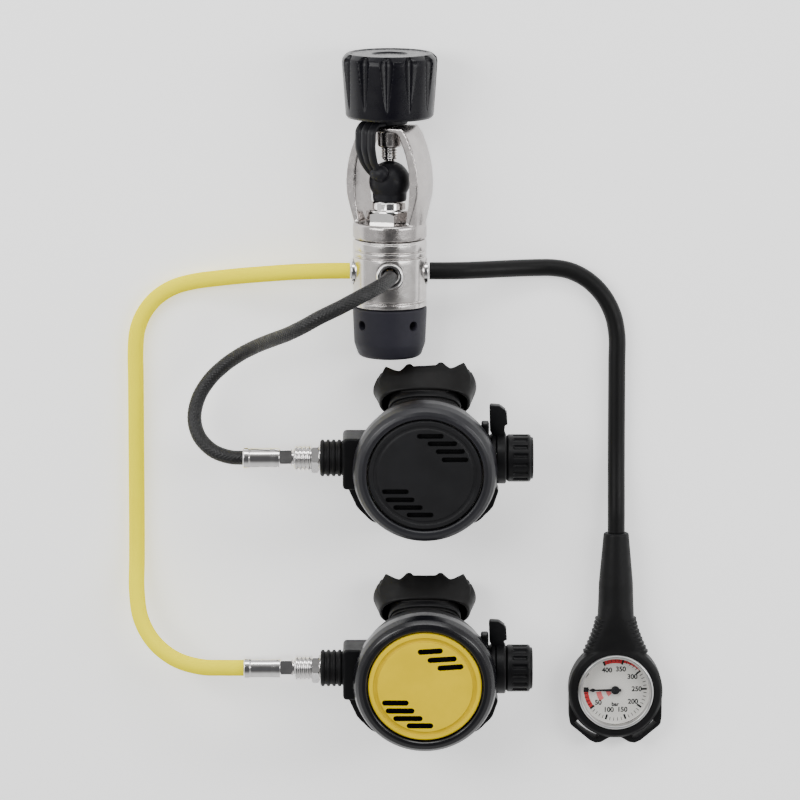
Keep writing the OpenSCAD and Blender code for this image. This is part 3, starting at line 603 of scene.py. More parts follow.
def yoke_half(z):
    """The yoke's half width, widest at YOKE_WIDE."""
    if z > YOKE_WIDE:
        return YOKE_HALF - HEAD_TAPER * ((z - YOKE_WIDE) / (YOKE_TOP - YOKE_WIDE)) ** 2
    return YOKE_HALF - FOOT_TAPER * ((YOKE_WIDE - z) / (YOKE_WIDE - YOKE_FOOT)) ** 2


outer = corner([(yoke_half(z), z) for z in np.linspace(4, 54.5, 26)]
               + [(12.6, YOKE_TOP, 3.5), (0, YOKE_TOP)], 8)
inner = corner([(yoke_half(z) - YOKE_ARM, z) for z in np.linspace(4, 46, 26)]
               + [(8.9, YOKE_WINDOW, 4.0), (0, YOKE_WINDOW)], 8)


def even(points, n):
    """n points at an even spacing along a polyline."""
    q = np.array(points, float)
    run = np.concatenate([[0], np.cumsum(np.linalg.norm(np.diff(q, axis=0), axis=1))])
    at = np.linspace(0, run[-1], n)
    return np.stack([np.interp(at, run, q[:, k]) for k in range(2)], 1)


def arm_section(o, i, n=10):
    """Flat front and back, a crowned outside, and rounded corners, between an inner and an outer point."""
    ring = []
    for k in range(n + 1):
        y = -1 + 2 * k / n
        crown = (1.4 + 2.2 * min(1.0, max(0.0, (24 - o[1]) / 14))) * min(1.0, o[0] / 12)
        ring.append((o[0] - crown * y * y, YOKE_DEPTH * y, o[1] - 0.9 * y * y * (o[0] < 12)))
    for k in range(n + 1):
        y = 1 - 2 * k / n
        ring.append((i[0], YOKE_DEPTH * 0.985 * y, i[1]))
    return ring


half_arch = [arm_section(o, i) for o, i in zip(even(outer, 46), even(inner, 46))]
arch = half_arch + [[(-x, y, z) for x, y, z in ring] for ring in reversed(half_arch[:-1])]
yoke = Shape().loft(arch)
collar = [(7.0, 0.3), (18.6, 0.3, 0.4), (19.15, 0.9, 0.4), (19.15, 7.6, 0.8), (18.3, 8.8, 0.8), (7.0, 8.6)]
yoke.lathe(corner(collar))
yoke.lathe(corner([(0, 47.6), (5.6, 47.6, 0.5), (6.3, 48.6, 0.6), (6.5, 57), (0, 57)]), 64)
YOKE_PUT = FIRST @ turn("Z", -25)
yoke = melted(yoke.object("yoke_frame", YOKE_PUT), 0.36, 16)
bore(yoke, spun(rod(9.2, -1, 9.4)), FIRST)
bore(yoke, spun(rod(SCREW_R + 0.12, 45, 62), 64), FIRST)
finish(yoke, ROOT, "satin_nickel", NICKEL, instead=["yoke"], sharp=38)


def hex_nut(name, r, turned, low, high, chamfer, at):
    """A hex between two heights, with its corners turned down to a profile."""
    outline = [(r * cos(radians(a)), r * sin(radians(a))) for a in range(turned, turned + 360, 60)]
    return cut(Shape().prism(outline, low, high).object(name, at), spun(corner(chamfer)), at, "INTERSECT")


# Retainer: hex with turned corners, a step and the sealing face
chamfer = [(0, 8.3), (12.6, 8.3, 0.2), (13.4, 9.2, 0.2), (13.4, 13.2, 0.3), (11.6, 14.6), (0, 14.6)]
retainer = hex_nut("retainer_nut", 13.1, -21, 8.5, 14.5, chamfer, FIRST)
step = corner([
    (5.25, 8.8), (9.6, 8.8), (10.6, 14.0, 0.3), (10.6, 15.2, 0.5), (9.1, 15.6, 0.4), (9.1, 19.1, 0.5),
    (8.5, 19.8, 0.2), (7.1, 19.8, 0.1), (7.0, 18.7, 0.1), (5.25, 18.7, 0.1)])
cut(retainer, spun(step), FIRST, "UNION")
finish(retainer, ROOT, "bright_chrome", CHROME, instead=["yoke_retainer"], sharp=30)
shank = spun(corner([(5.25, -8), (8.8, -8, 0.2), (9.0, 9), (5.25, 9)]), 64)
finish(shank.object("retainer_shank", FIRST), ROOT, "bright_chrome", CHROME)

# Dust cap: ball, plug, strap with three ridges, loop under the knob and pull lug
STRAP_TURN = -48
strap_line = corner([(8.5, 60.6), (14.2, 60.6, 3.0), (17.0, 57.0, 3.0), (17.2, 48, 12), (15.0, 41, 12),
                     (11.0, 35.4, 8), (9.2, 33.6)], 5)


def strap_section(p, d, width):
    """Across the strap: three round ridges with two grooves between them."""
    nx, nz = -d[1], d[0]
    ring = []
    for k in range(25):
        u = -1 + 2 * k / 24
        ridge = 0.95 * abs(cos(1.5 * pi * u)) ** 0.6 * (1 - 0.25 * u * u)
        t = 0.6 + ridge - 0.5 * u ** 8
        ring.append((u * width / 2, -(p[0] + nx * t), p[1] + nz * t))
    for k in range(9):
        u = 1 - 2 * k / 8
        ring.append((u * width / 2 * 0.96, -(p[0] - nx * 1.1), p[1] - nz * 1.1))
    return ring


strap_points = even(strap_line, 60)
strap_dirs = np.gradient(strap_points, axis=0)
strap_dirs /= np.linalg.norm(strap_dirs, axis=1)[:, None]
width_of = np.interp(np.linspace(0, 1, 60), [0, 0.2, 0.55, 0.85, 1], [13, 15, 14.6, 12, 9])
STRAP_PUT = turn("Z", STRAP_TURN)
cap = Shape().ball((0, 0, CAP_BALL_Z), (10.7, 10.7, 10.7))
cap.lathe([(0, 19.95), (8.7, 19.95), (8.9, 24), (8.9, 27), (0, 27)], 64)
strap = Shape().loft([strap_section(p, d, w) for p, d, w in zip(strap_points, strap_dirs, width_of)])
finish(strap.object("dust_cap_strap", FIRST @ STRAP_PUT), "dust_cap", "black_rubber", CAP_RUBBER, sharp=75)
cap.ball((3.0, -10.0, 35.0), (5.6, 4.4, 4.3), STRAP_PUT)
cap.lathe([(4.95, 59.75), (9.2, 59.75), (9.2, 62.1), (4.95, 62.1)], 64)
cap = melted(cap.object("dust_cap_moulding", FIRST), 0.3, 4)
finish(cap, "dust_cap", "black_rubber", CAP_RUBBER, instead=["dust_cap"], sharp=50)

# Body, turned with grooves, with spot faces at the ports
BODY_R = 19.1
body_line = corner([
    (9.1, -0.1), (18.3, -0.1, 0.2), (18.7, -0.6, 0.2), (18.7, -1.1, 0.2), (BODY_R, -1.5, 0.3),
    (BODY_R, -5.0, 0.25), (18.35, -5.45, 0.15), (18.35, -5.8, 0.15), (BODY_R, -6.2, 0.25),
    (BODY_R, -8.1, 0.25), (18.35, -8.5, 0.15), (18.35, -8.9, 0.15), (BODY_R, -9.3, 0.25),
    (BODY_R, -30.9, 0.25), (18.3, -31.3, 0.15), (18.3, -32.1, 0.15), (BODY_R + 0.05, -32.5, 0.3),
    (BODY_R + 0.05, -34.6, 0.6), (18.2, -35.5, 0.2), (16.4, -35.55), (16.4, -28.1), (9.1, -12)], 3)
body = spun(dense(body_line, 3), 192).object("body_shell", FIRST)
PORT_Z = -17.2


def port(angle):
    return turn("Z", angle) @ shift(0, 0, PORT_Z) @ turn("X", 90)


for angle in (-90, 0, 90, 135, 225):
    r = 7.5 if abs(angle) < 100 else 6.4
    spot_face = [(0, 10), (4.85, 10), (4.85, 17.9), (r, 17.9), (r, 24), (0, 24)]
    cut(body, spun(spot_face, 64, port(angle)), FIRST)
finish(body, ROOT, "pearl_chrome", PEARL, instead=["first_stage_body"], sharp=28)

# Fittings: a chamfered flange with a bright ring, and the dark throat that the hose comes out of
for angle, name, throat in ((-90, "left", 4.3), (0, "front", 3.85), (90, "right", 4.6)):
    ring = spun(corner([
        (throat, 12.2), (4.8, 12.2), (4.8, 17.9), (6.9, 17.9, 0.1), (6.9, 19.6, 0.5), (6.2, 20.5, 0.3),
        (5.4, 20.5, 0.2), (throat + 0.35, 19.3, 0.2), (throat, 18.9)]), 72, port(angle))
    finish(ring.object(f"fitting_{name}", FIRST), ROOT, "bright_chrome", CHROME,
           instead=["port_fittings"] if name == "front" else (), sharp=30)

# End cap with water holes
cap_line = corner([
    (12.9, -29.2), (16.3, -29.2), (16.3, -35.7, 0.1), (18.9, -35.7, 0.4), (19.3, -36.3, 0.4),
    (19.25, -37.6, 0.3), (18.5, -54.4, 7.5), (16.0, -61.6, 3.2), (11.6, -61.6, 0.4), (11.1, -61.0, 0.3),
    (11.1, -57.2), (12.9, -57.2)], 8)
end = spun(dense(cap_line, 3), 160).object("end_cover", FIRST)
holes, HOLE_Z = Shape(), -43.9
for angle in (45, 135, 225, 315):
    holes.lathe([(0, 10), (2.3, 10), (2.3, 18.2), (2.9, 19.6), (2.9, 25), (0, 25)], 40,
                turn("Z", angle - 4.5) @ shift(0, 0, HOLE_Z) @ turn("X", 90))
cut(end, holes, FIRST)
finish(end, ROOT, "charcoal_matte", END_CAP, instead=["end_cap"], sharp=30)


# ---- Second stages ----

BARREL_TURN = turn("Y", 90)        # a lathe's z runs along the barrel's x
PURGE_R, RING_R, RING_H, CASE_R, HOLLOW_R, LIP_H, BOWL_Z = 29.3, 37.2, 13.0, 34.4, 32.6, 5.0, -24
SLOTS = {
    "primary": [(2.6, 21.2, 13.8, 0), (8.8, 17.2, 15.2, 0), (12.9, 13, 15, 0), (15.3, 8.6, 13.8, 0)],
    "octopus": [(2.7, 19.6, 13, 3.5), (8.8, 15.2, 15.1, 3.5), (13.1, 10.9, 13.5, 4)],
}
GROOVE, SLOT_SHADE = 1, 2        # the purge cover's second and third materials: the groove's (darker yellow on the octopus, painted shade) and black plastic on the slot walls, painted shade
GROOVE_IN, GROOVE_OUT, GROOVE_FLOOR, SLOTS_WITHIN = 24.5, 27.0, -1.5, 24.4
LOWER_SLOTS = [(-x, -y, length, turned) for x, y, length, turned in SLOTS["primary"]]


def stadium(length, r, n=10):
    """A slot's outline, with round ends."""
    h = length / 2 - r
    return arc((h, 0), r, -90, 90, n) + arc((-h, 0), r, 90, 270, n)


def rounded(value, power):
    """A power that keeps its sign."""
    return copysign(abs(value) ** power, value)


def oval(w, h, power=2.5, n=96):
    """A rounded oval ring of the given full width and height."""
    return [(w / 2 * rounded(cos(a), 2 / power), h / 2 * rounded(sin(a), 2 / power)) for a in around(n)]


def oval_bar(shape, z0, z1, w, h, at):
    return shape.loft([[(x, y, z) for x, y in oval(w, h)] for z in (z0, z1)], at)


def rounded_box(shape, low, high, r, at=None):
    (a, b, c), (d, e, f) = low, high
    outline = corner([((a + d) / 2, b), (d, b, r), (d, e, r), (a, e, r), (a, b, r), ((a + d) / 2, b)], 4)[:-1]
    k, x0, y0 = 0.3 * r, (a + d) / 2, (b + e) / 2
    sx, sy = 1 - 2 * k / (d - a), 1 - 2 * k / (e - b)
    small = [((x - x0) * sx + x0, (y - y0) * sy + y0) for x, y in outline]
    return shape.loft([[(x, y, z) for x, y in o] for o, z in
                       ((small, c), (outline, c + k), (outline, f - k), (small, f))], at)


def scallop(x, skew):
    """How far the bite flange's edge stands out along the mouthpiece, across its width."""
    return float(np.interp(abs(x), [0, 6, 7.3, 9.3, 11.4, 13.2, 15.5, 18.6, 20.3, 21.2, 23.6, 27],
                           [2.3, 2.5, 4.3, 4.3, 1.9, 0.5, 1.8, 4.6, 6.5, 5.4, 0.4, -4.5])) + skew * x


BITE_TAB = [  # axial place, middle, width and thickness
    (-28.4, 18.4, 11.5, 6.2), (-30.4, 18.4, 10.6, 5.8), (-32.6, 18.8, 8.8, 5.2), (-35, 19.2, 7.2, 4.6),
    (-37.6, 19.6, 6.4, 4.4), (-38.9, 19.8, 5.2, 3.8), (-39.6, 19.9, 3, 2.2)]


def mouthpiece(skew):
    """Sleeve, flange with a scalloped edge, and the skirt that runs back from the flange over the sleeve."""
    stations = [  # axial place, width, height, how much of the scallop it takes
        (-12.6, 36, 24, 0), (-24.6, 36, 24, 0), (-25.6, 37.4, 25, 0), (-26, 40, 25.2, 0),
        (-25.4, 45.4, 25.8, 0), (-22, 44.6, 24.6, 0), (-19.2, 44, 23.9, 0), (-18.6, 45, 24.7, 0),
        (-18.7, 46.6, 25.9, 0), (-19.3, 47.5, 26.7, 0), (-21.5, 48.8, 27.6, 0), (-24.2, 51, 29, 0.1),
        (-26.6, 53, 30.4, 0.45), (-28.4, 54, 31, 0.85), (-29.5, 53.6, 30.8, 1), (-30.2, 52, 29.4, 1),
        (-30.2, 49, 26.8, 0.9), (-29.9, 42, 23, 0.5), (-29.8, 32, 19, 0.1), (-29.6, 28.4, 17.4, 0),
        (-28.6, 27.2, 16.2, 0), (-22.3, 27, 16, 0), (-22.3, 31.2, 20.2, 0), (-12.6, 31.2, 20.2, 0)]
    rings = []
    for z, w, h, share in stations:
        ring = []
        for x, y in oval(w, h, 2.5, 160):
            edge = scallop(x, skew) * (0.78 + 0.44 * y / h)        # less on the side that faces the table
            ends = 0.06 * abs(x) ** 1.2 if abs(x) > 24 else 0
            ring.append((x, y, z - share * (edge + ends)))
        rings.append(ring)
    shape = Shape().loft(rings, round_trip=True)
    for side in (-1, 1):
        lean = skew * side * 18
        tab = [[(side * x + px, py, z - lean) for px, py in oval(w, t, 2.6, 32)] for z, x, w, t in BITE_TAB]
        shape.loft(tab)
        shape.loft([[(side * 19.4 + px * k, py * k, -37.4 - lean + dz) for px, py in oval(9.2, 7.6, 2.6, 32)]
                    for dz, k in ((1.7, 0.4), (1.2, 0.85), (0, 1), (-1.2, 0.85), (-1.7, 0.4))])
    return shape


NOTCHES, NOTCH_LOW, NOTCH_HIGH, NOTCH_DEPTH, NOTCH_HALF, NOTCH_END = 16, 45.4, 53.2, 1.15, 1.25, 0.5
EFFORT_R, NOTCH_CORE = 12.3, 10


def grip(angle, r, z):
    """The effort knob's radius, less its grip notches."""
    if r < NOTCH_CORE or not NOTCH_LOW < z < NOTCH_HIGH:
        return r
    pitch = 2 * pi / NOTCHES
    off = abs((angle + pitch / 2) % pitch - pitch / 2) * EFFORT_R
    ends = min(1, (z - NOTCH_LOW) / NOTCH_END, (NOTCH_HIGH - z) / NOTCH_END)
    return r - NOTCH_DEPTH * max(0.0, 1 - (off / NOTCH_HALF) ** 4) * ends


def build_stage(which, ring_material, cover_material, groove_material, skew, lever_top):
    stage = STAGE[which]
    barrel = IN_BARREL @ BARREL_TURN

    # Cover ring, with the notch over the neck
    ring = spun(dense(corner([
        (30.2, -LIP_H), (30.2, -0.7, 0.3), (30.8, -0.1, 0.3), (32.4, -0.05, 1.4), (34.2, -0.7, 1.6),
        (36.1, -2.7, 2.2), (RING_R, -6.5, 3), (RING_R, -12.2, 0.9), (36.2, -RING_H, 0.5), (34.5, -RING_H),
        (34.5, -LIP_H)], 5), 3), 224)
    ring = ring.object(f"{which}_front_ring", stage)
    cut(ring, spun(rod(13.6, 27, 45), 64), stage @ barrel)
    finish(ring, ROOT, "black_plastic", ring_material, instead=[f"{which}_cover_ring"], sharp=32)

    # Purge cover with its groove and water slots
    cover = spun(dense(corner([
        (0, -3.6), (29.1, -3.6, 0.2), (PURGE_R, -3.3, 0.2), (PURGE_R, -1.4, 0.45), (28.6, -0.75, 0.5),
        (26.9, -0.68, 0.3), (26.4, -1.3, 0.3), (25.2, -1.35, 0.3), (24.6, -0.75, 0.4), (23.4, -0.6),
        (0, -0.35)], 5), 4), 224)
    cover = cover.object(f"{which}_purge_plate", stage)
    slot_half = 1.3 if which == "primary" else 1.45
    for x, y, length, turned in SLOTS[which] + LOWER_SLOTS:
        slot_at = stage @ shift(x, y, 0) @ turn("Z", turned)
        cut(cover, Shape().prism(stadium(length, slot_half), -6, 2), slot_at)
    cover_slot = "cover_charcoal" if which == "primary" else "cover_yellow"
    finish(cover, f"{which}_purge_cover", cover_slot, cover_material, groove_material, PLASTIC,
           instead=[f"{which}_purge_cover"], sharp=25)
    to_stage = stage.inverted()
    for facet in cover.data.polygons:
        middle = to_stage @ (facet.center / MM)
        out = hypot(middle.x, middle.y)
        steep = abs((to_stage.to_3x3() @ facet.normal).z) < 0.5
        # The groove's faces take the groove material, which on the octopus is a darker yellow: painted shade
        # in the groove.
        if GROOVE_IN < out < GROOVE_OUT and middle.z > GROOVE_FLOOR:
            facet.material_index = GROOVE
        # Steep faces within the slotted part, the slot walls, take black plastic: painted shade in the slots.
        elif out < SLOTS_WITHIN and steep:
            facet.material_index = SLOT_SHADE
    # A thin black disc right under the cover: painted shade seen through the slots.
    slot_shade_disc = spun(corner([(0, -4.3), (26.4, -4.3, 0.2), (26.8, -3.62), (0, -3.62)]), 96)
    finish(slot_shade_disc.object(f"{which}_purge_shade_disc", stage), f"{which}_purge_cover", "black_plastic", PLASTIC)

    # Case: bowl, hose block, neck, boss, spout and shoulders in one moulding
    steps = [radians(a) for a in range(6, 91, 6)]
    bowl = [(0, -39)] + [(CASE_R * sin(a), BOWL_Z - 15 * cos(a)) for a in steps]
    hollow = [(HOLLOW_R * sin(a), BOWL_Z - 13.2 * cos(a)) for a in reversed(steps)] + [(0, -37.2)]
    case = spun(bowl + [(CASE_R, -6.6), (HOLLOW_R, -6.6)] + hollow, 128)
    rounded_box(case, (-42.5, -12, -31), (-27, 15.6, -13.3), 2.0)
    case.lathe(corner([(0, 27), (12.5, 27), (12.3, 31, 1), (11.6, 36.75, 0.4), (0, 36.75)]), 64, barrel)
    case.lathe(corner([(0, 34.2), (12.9, 34.2, 0.3), (12.9, 36.75, 0.3), (0, 36.75)]), 64, barrel)
    rounded_box(case, (29, 10.4, -24), (33, 22.6, -17), 0.8)
    oval_bar(case, -22, 6, 31, 20, IN_MOUTH)
    case.lathe(rod(15, -3.5, 6), 64, IN_SEAT)
    shoulder = corner([
        (-40, 2), (-42, -8, 1), (-39.6, -12.6, 1.5), (-35.2, -22.4, 6), (-27.5, -30.4, 6), (-14, -33.6, 8),
        (14, -33.6, 8), (27.5, -30.4, 6), (35.2, -22.4, 6), (38.2, -13.4, 1.5), (35.5, -9, 1), (33, 2)])
    case.prism(shoulder, -25.5, -16.5)
    case = melted(case.object(f"{which}_housing", stage), 0.5, 3)
    bore(case, spun([(0, -3), (HOLLOW_R, -3)] + hollow, 128), stage)
    bore(case, oval_bar(Shape(), -24, 9, 26, 15, IN_MOUTH), stage)
    bore(case, spun(rod(7.45, -45, 38), 64), stage @ barrel)
    bore(case, spun(rod(11.8, -8, 8), 64), stage @ IN_SEAT)
    finish(case, ROOT, "black_plastic", PLASTIC, instead=[f"{which}_case"], sharp=50)

    # Exhaust seat: a hub on three legs across the opening
    spider = spun([(1, -3.3), (2.6, -3.3), (2.6, -1.6), (1, -1.6)], 32, IN_SEAT)
    for a in (0, 120, 240):
        spider.box((1.6, -1, -3.25), (12.2, 1, -1.65), IN_SEAT @ turn("Z", a))
    spider = bevelled(spider.object(f"{which}_exhaust_seat", stage), 0.25)
    finish(spider, ROOT, "black_plastic", PLASTIC)

    # Inlet collar, with four ribs
    ribs = [(7.5, -54.2), (8.8, -54.2, 0.2)]
    for i in range(4):
        x = -53.9 + 2.9 * i
        ribs += [(8.7, x, 0.2), (9.55, x + 0.25, 0.45), (9.55, x + 1.6, 0.45), (8.55, x + 1.9, 0.3)]
    ribs += [(8.6, -43.2, 0.4), (9.4, -42.3), (7.5, -42.3)]
    collar = spun(corner(ribs), 96, barrel).object(f"{which}_collar", stage)
    finish(collar, ROOT, "black_rubber", RUBBER, instead=[f"{which}_inlet_collar"])

    # Swivel nut: round ribs, then a hex
    nut = [(4.4, -67.8), (6.6, -67.8, 0.3), (7.0, -67.4, 0.3)]
    for i in range(4):
        x = -67.3 + 2.1 * i
        nut += [(7.05, x, 0.15), (7.7, x + 0.2, 0.4), (7.7, x + 1.3, 0.4), (7.05, x + 1.5, 0.15)]
    nut += [(7.05, -58.7, 0.1), (6.6, -58.6), (6.6, -55.0), (6.9, -54.6, 0.3), (6.6, -54.5), (6.5, -60),
            (4.4, -60)]
    swivel = spun(corner(nut), 96, barrel).object(f"{which}_swivel_sleeve", stage)
    finish(swivel, f"{which}_swivel_nut", "bright_chrome", CHROME, instead=[f"{which}_swivel_nut"], sharp=35)
    chamfer = [(6.55, -58.7), (7.4, -58.7, 0.2), (8.05, -58.0, 0.2), (8.05, -55.6, 0.2), (7.4, -54.9),
               (6.55, -54.9)]
    hexed = hex_nut(f"{which}_swivel_hex", 7.95, 0, -58.6, -55.0, chamfer, stage @ barrel)
    finish(hexed, f"{which}_swivel_nut", "bright_chrome", CHROME, sharp=30)

    # Crimped ferrule on the hose: waisted sleeve, hex and stem
    crimp = spun(dense(corner([
        (4.6, -93.9), (6.0, -94.1, 0.3), (6.45, -93.6, 0.4), (6.45, -91.2, 0.6), (6.15, -90.2, 1.5),
        (6.1, -80, 2), (6.3, -77.4, 1.5), (6.3, -75.1, 0.3), (4.2, -75), (4.2, -61, 0.2), (2.4, -61),
        (2.4, -90)], 5), 3), 96,
        barrel)
    finish(crimp.object(f"{which}_ferrule", stage), ROOT, "bright_chrome", CHROME,
           instead=["hose_ferrules"] if which == "primary" else (), sharp=30)
    chamfer = [(4.0, -75.3), (6.5, -75.3, 0.2), (7.15, -74.6, 0.2), (7.15, -69.3, 0.3), (6.2, -68.5),
               (4.0, -68.5)]
    hexed = hex_nut(f"{which}_ferrule_hex", 7.2, 8, -75.2, -68.6, chamfer, stage @ barrel)
    finish(hexed, ROOT, "bright_chrome", CHROME, sharp=30)

    # Breathing-effort knob
    effort = spun(dense(corner([
        (7.95, 42.05), (11.4, 42.05, 0.3), (EFFORT_R, 43.1, 0.5), (EFFORT_R, 53.8, 0.4), (11.7, 54.6, 0.3),
        (10.9, 54.75, 0.2), (10.7, 55.8, 0.4), (9.6, 56.0, 0.3), (8.6, 55.5, 0.2), (0.05, 55.4), (0.05, 48.6),
        (7.95, 48.5)]), 0.5), 256, barrel, grip)
    finish(effort.object(f"{which}_effort_grip", stage), f"{which}_adjust_knob", "black_plastic", PLASTIC,
           instead=[f"{which}_adjust_knob"], sharp=32)

    # Venturi lever: hub and a thumb blade with ridges
    ridges = []
    for i in range(4):
        x, y = 42.5 - 0.12 * i, lever_top - 10.2 + 1.75 * i
        ridges += [(x, y, 0.3), (x + 0.1, y + 1.0, 0.3), (x - 0.8, y + 1.4, 0.2)]
    blade = corner([(36.9, 8), (41.7, 8), (41.7, 12, 1), (41.0, 15.4, 2), (41.3, lever_top - 10.6, 1),
                    *ridges, (41.6, lever_top - 2.8, 0.8), (38.4, lever_top - 0.3, 1.6),
                    (33.7, lever_top, 0.7), (33.2, lever_top - 1.2, 0.6), (33.5, 15.4, 1.5),
                    (35.4, 12.2, 1.5), (36.9, 10.6)], 3)
    lever = Shape().prism(blade, -2.3, 2.3, IN_BARREL).object(f"{which}_venturi_blade", stage)
    lever = bevelled(lever, 0.45, 2, 35)
    finish(lever, f"{which}_venturi_lever", "black_plastic", PLASTIC,
           instead=[f"{which}_venturi_lever"], sharp=35)
    hub = spun(corner([(7.55, 36.85), (12.9, 36.85, 0.3), (13.3, 37.3, 0.3), (13.3, 41.3, 0.5),
                       (12.7, 41.95, 0.3), (7.55, 41.95)]), 96, barrel)
    finish(hub.object(f"{which}_venturi_hub", stage), f"{which}_venturi_lever", "black_plastic", PLASTIC,
           sharp=32)

    # Exhaust tee: a hood that narrows into a pipe with two open ends
    tee_y, tee_z, tee_r, tee_half = -35, -46.85, 9.0, 20

    def hood(r, z):
        """A round ring about the exhaust seat."""
        return [tuple(IN_SEAT @ Vector((r * cos(a), r * sin(a), z))) for a in around(96)]

    def waist(half, depth):
        """The long ring at the pipe's middle that the hood runs down to."""
        return [(half * rounded(cos(a), 0.6), tee_y + depth * sin(a), tee_z) for a in around(96)]

    tee = Shape()
    rim = [hood(r, z) for r, z in ((16.2, -1.0), (17, -1.8), (17, -7.5), (16.2, -8.5))]
    tee.loft(rim + [waist(tee_half - 4, 7.8)])
    across = shift(0, tee_y, tee_z) @ BARREL_TURN
    end_r, end_x = tee_r - 0.6, tee_half - 0.6
    tee.lathe(corner([(0, -tee_half), (end_r, -tee_half, 0.3), (tee_r, -end_x, 0.3), (tee_r, end_x, 0.3),
                      (end_r, tee_half, 0.3), (0, tee_half)]), 80, across)
    for x in (1.2 - tee_half, tee_half - 1.2):
        bead = [(0, x - 0.9), (tee_r - 0.1, x - 0.9), (tee_r + 0.35, x, 0.3), (tee_r - 0.1, x + 0.9),
                (0, x + 0.9)]
        tee.lathe(corner(bead), 80, across)
    tee = melted(tee.object(f"{which}_exhaust_hood", stage), 0.5, 3)
    bore(tee, spun(rod(7.2, -30, 30), 64), stage @ across)
    seat_bore = [(0, -7), (14.6, -7), (14.6, -3.6), (15.05, -3.6), (15.05, 2), (0, 2)]
    bore(tee, spun(seat_bore, 80), stage @ IN_SEAT)
    bore(tee, Shape().loft([hood(14.4, -6.5), waist(tee_half - 8, 5.6)]), stage)
    finish(tee, ROOT, "black_plastic", RUBBER, instead=[f"{which}_exhaust_tee"], sharp=50)

    # Mouthpiece and its tie
    mouth = melted(mouthpiece(skew).object(f"{which}_bite_piece", stage @ IN_MOUTH), 0.38, 3)
    finish(mouth, ROOT, "mouth_silicone", MOUTH, instead=[f"{which}_mouthpiece"], sharp=60)
    band = [(-17.4, 36.1, 24.1), (-17.4, 37.4, 25.4), (-17, 37.8, 25.8), (-14.4, 37.8, 25.8),
            (-14, 37.4, 25.4), (-14, 36.1, 24.1)]
    tie = Shape().loft([[(x, y, z) for x, y in oval(w, h)] for z, w, h in band], round_trip=True)
    tie.box((-2.6, -14.6, -17.6), (2.8, -12.6, -13.8))
    tie = bevelled(tie.object(f"{which}_mouth_tie", stage @ IN_MOUTH), 0.25)
    finish(tie, ROOT, "black_plastic", PLASTIC,
           instead=["mouthpiece_ties"] if which == "primary" else (), sharp=35)


build_stage("primary", RING_SATIN, COVER_DARK, COVER_DARK, 0.07, 28.9)
build_stage("octopus", RING_GLOSS, COVER_YELLOW, COVER_GROOVE_SHADE, 0.0, 26.4)


# ---- Gauge ----

BOOT_R, BOOT_H, STEM_Z, NECK_END = 24.7, 17, 9.5, 83.8
along = shift(0, 0, STEM_Z) @ turn("X", -90)          # a lathe's z runs up the sleeve
feet = corner([(24.5, 0), (24.4, -14, 4), (23.8, -18, 3), (20.6, -20.6, 4), (13.4, -26.6, 2),
               (10.4, -28, 1.5), (7.4, -27.6, 2), (3.4, -25.2, 3), (0, -24.4)])
boot = spun(corner([(0, 0), (23.9, 0, 0.4), (BOOT_R, 0.8, 0.5), (BOOT_R, 14.6, 1), (23.2, 16.7, 1),
                    (20.6, BOOT_H, 0.4), (0, BOOT_H)]), 160)
boot.prism(feet + [(-x, y) for x, y in reversed(feet[:-1])], 0.2, 13)
neck = [(NECK_END, 6.2, 6.2), (83.2, 6.65, 6.65), (57, 9.0, 9.0), (46, 9.3, 9.3), (39, 9.6, 9.3),
        (33, 10.9, 8.8), (28.6, 12.5, 8.2), (24.4, 14.2, 7.6), (20, 16.3, 7.2), (15, 18.6, 7.1),
        (8, 19, 7)]


def neck_section(y, w, h, n=72):
    power = 2 + 1.6 * min(1, max(0, (46 - y) / 20))
    return [(px, y, pz + STEM_Z) for px, pz in oval(2 * w, 2 * h, power, n)]


boot.loft([neck_section(*n) for n in neck])
boot = melted(boot.object("boot_moulding", GAUGE), 0.42, 4)
teeth = Shape()
RIBS, RIB_START, RIB_PITCH = 9, 20.4, 2.15
for i in range(RIBS):
    y = RIB_START + RIB_PITCH * i
    w, h = (float(np.interp(y, [n[0] for n in neck[::-1]], [n[k] for n in neck[::-1]])) for k in (1, 2))
    profile = ((0, 0.2), (0.15, 0.95), (0.95, 0.95), (1.15, 0.2))
    teeth.loft([neck_section(y + dy, w + grow, h - 0.3) for dy, grow in profile])
teeth = teeth.object("boot_ribs", GAUGE)
case_bore = [(0, 3), (21.4, 3), (21.4, 15.1), (19.95, 15.1), (19.95, 22), (0, 22)]
bore(boot, spun(case_bore, 128), GAUGE)
hose_bore = [(0, 12), (4.55, 12), (4.55, 48), (4.5, 48), (4.5, 96), (0, 96)]
bore(boot, spun(hose_bore, 48, along), GAUGE)
cut(teeth, spun(rod(4.55, 12, 48), 48, along), GAUGE)
for side in (-1, 1):
    band = arc((0, 0), 27.4, 218, 250, 16) + arc((0, 0), 25.0, 250, 218, 16)
    band = band if side == 1 else [(-x, y) for x, y in band]
    cut(boot, Shape().prism(band, -1, 18), GAUGE)
finish(boot, "gauge_head", "boot_rubber", RUBBER, instead=["gauge_boot"], sharp=50)
finish(teeth, "gauge_head", "boot_rubber", RUBBER, sharp=60)

bezel = spun(dense(corner([(17.6, 15.5), (17.9, 15.1), (19.8, 15.1), (19.8, 17.3, 0.4),
                           (19.2, 17.95, 0.4), (18.3, 17.95, 0.5), (17.6, 16.6)]), 0.6), 160)
finish(bezel.object("bezel_ring", GAUGE), "gauge_head", "satin_steel", BEZEL,
       instead=["gauge_bezel"], sharp=40)

lens = spun([(0, 13.45), (18.3, 13.45), (18.5, 13.65), (18.5, 14.7), (18.1, 14.95), (9, 15.0),
             (0, 15.0)], 128)
glass = Nodes("lens")
glass.colour(glass.noise(40, 3), (0.04, 0.045, 0.045), (0.06, 0.065, 0.065))
glass.rough(glass.noise(200, 4), 0.03, 0.07)
glass.set(Alpha=0.06, Specular_IOR_Level=0.4)
finish(lens.object("lens_disc", GAUGE), "gauge_head", "clear_lens", glass.material,
       instead=["gauge_lens"], sharp=40)

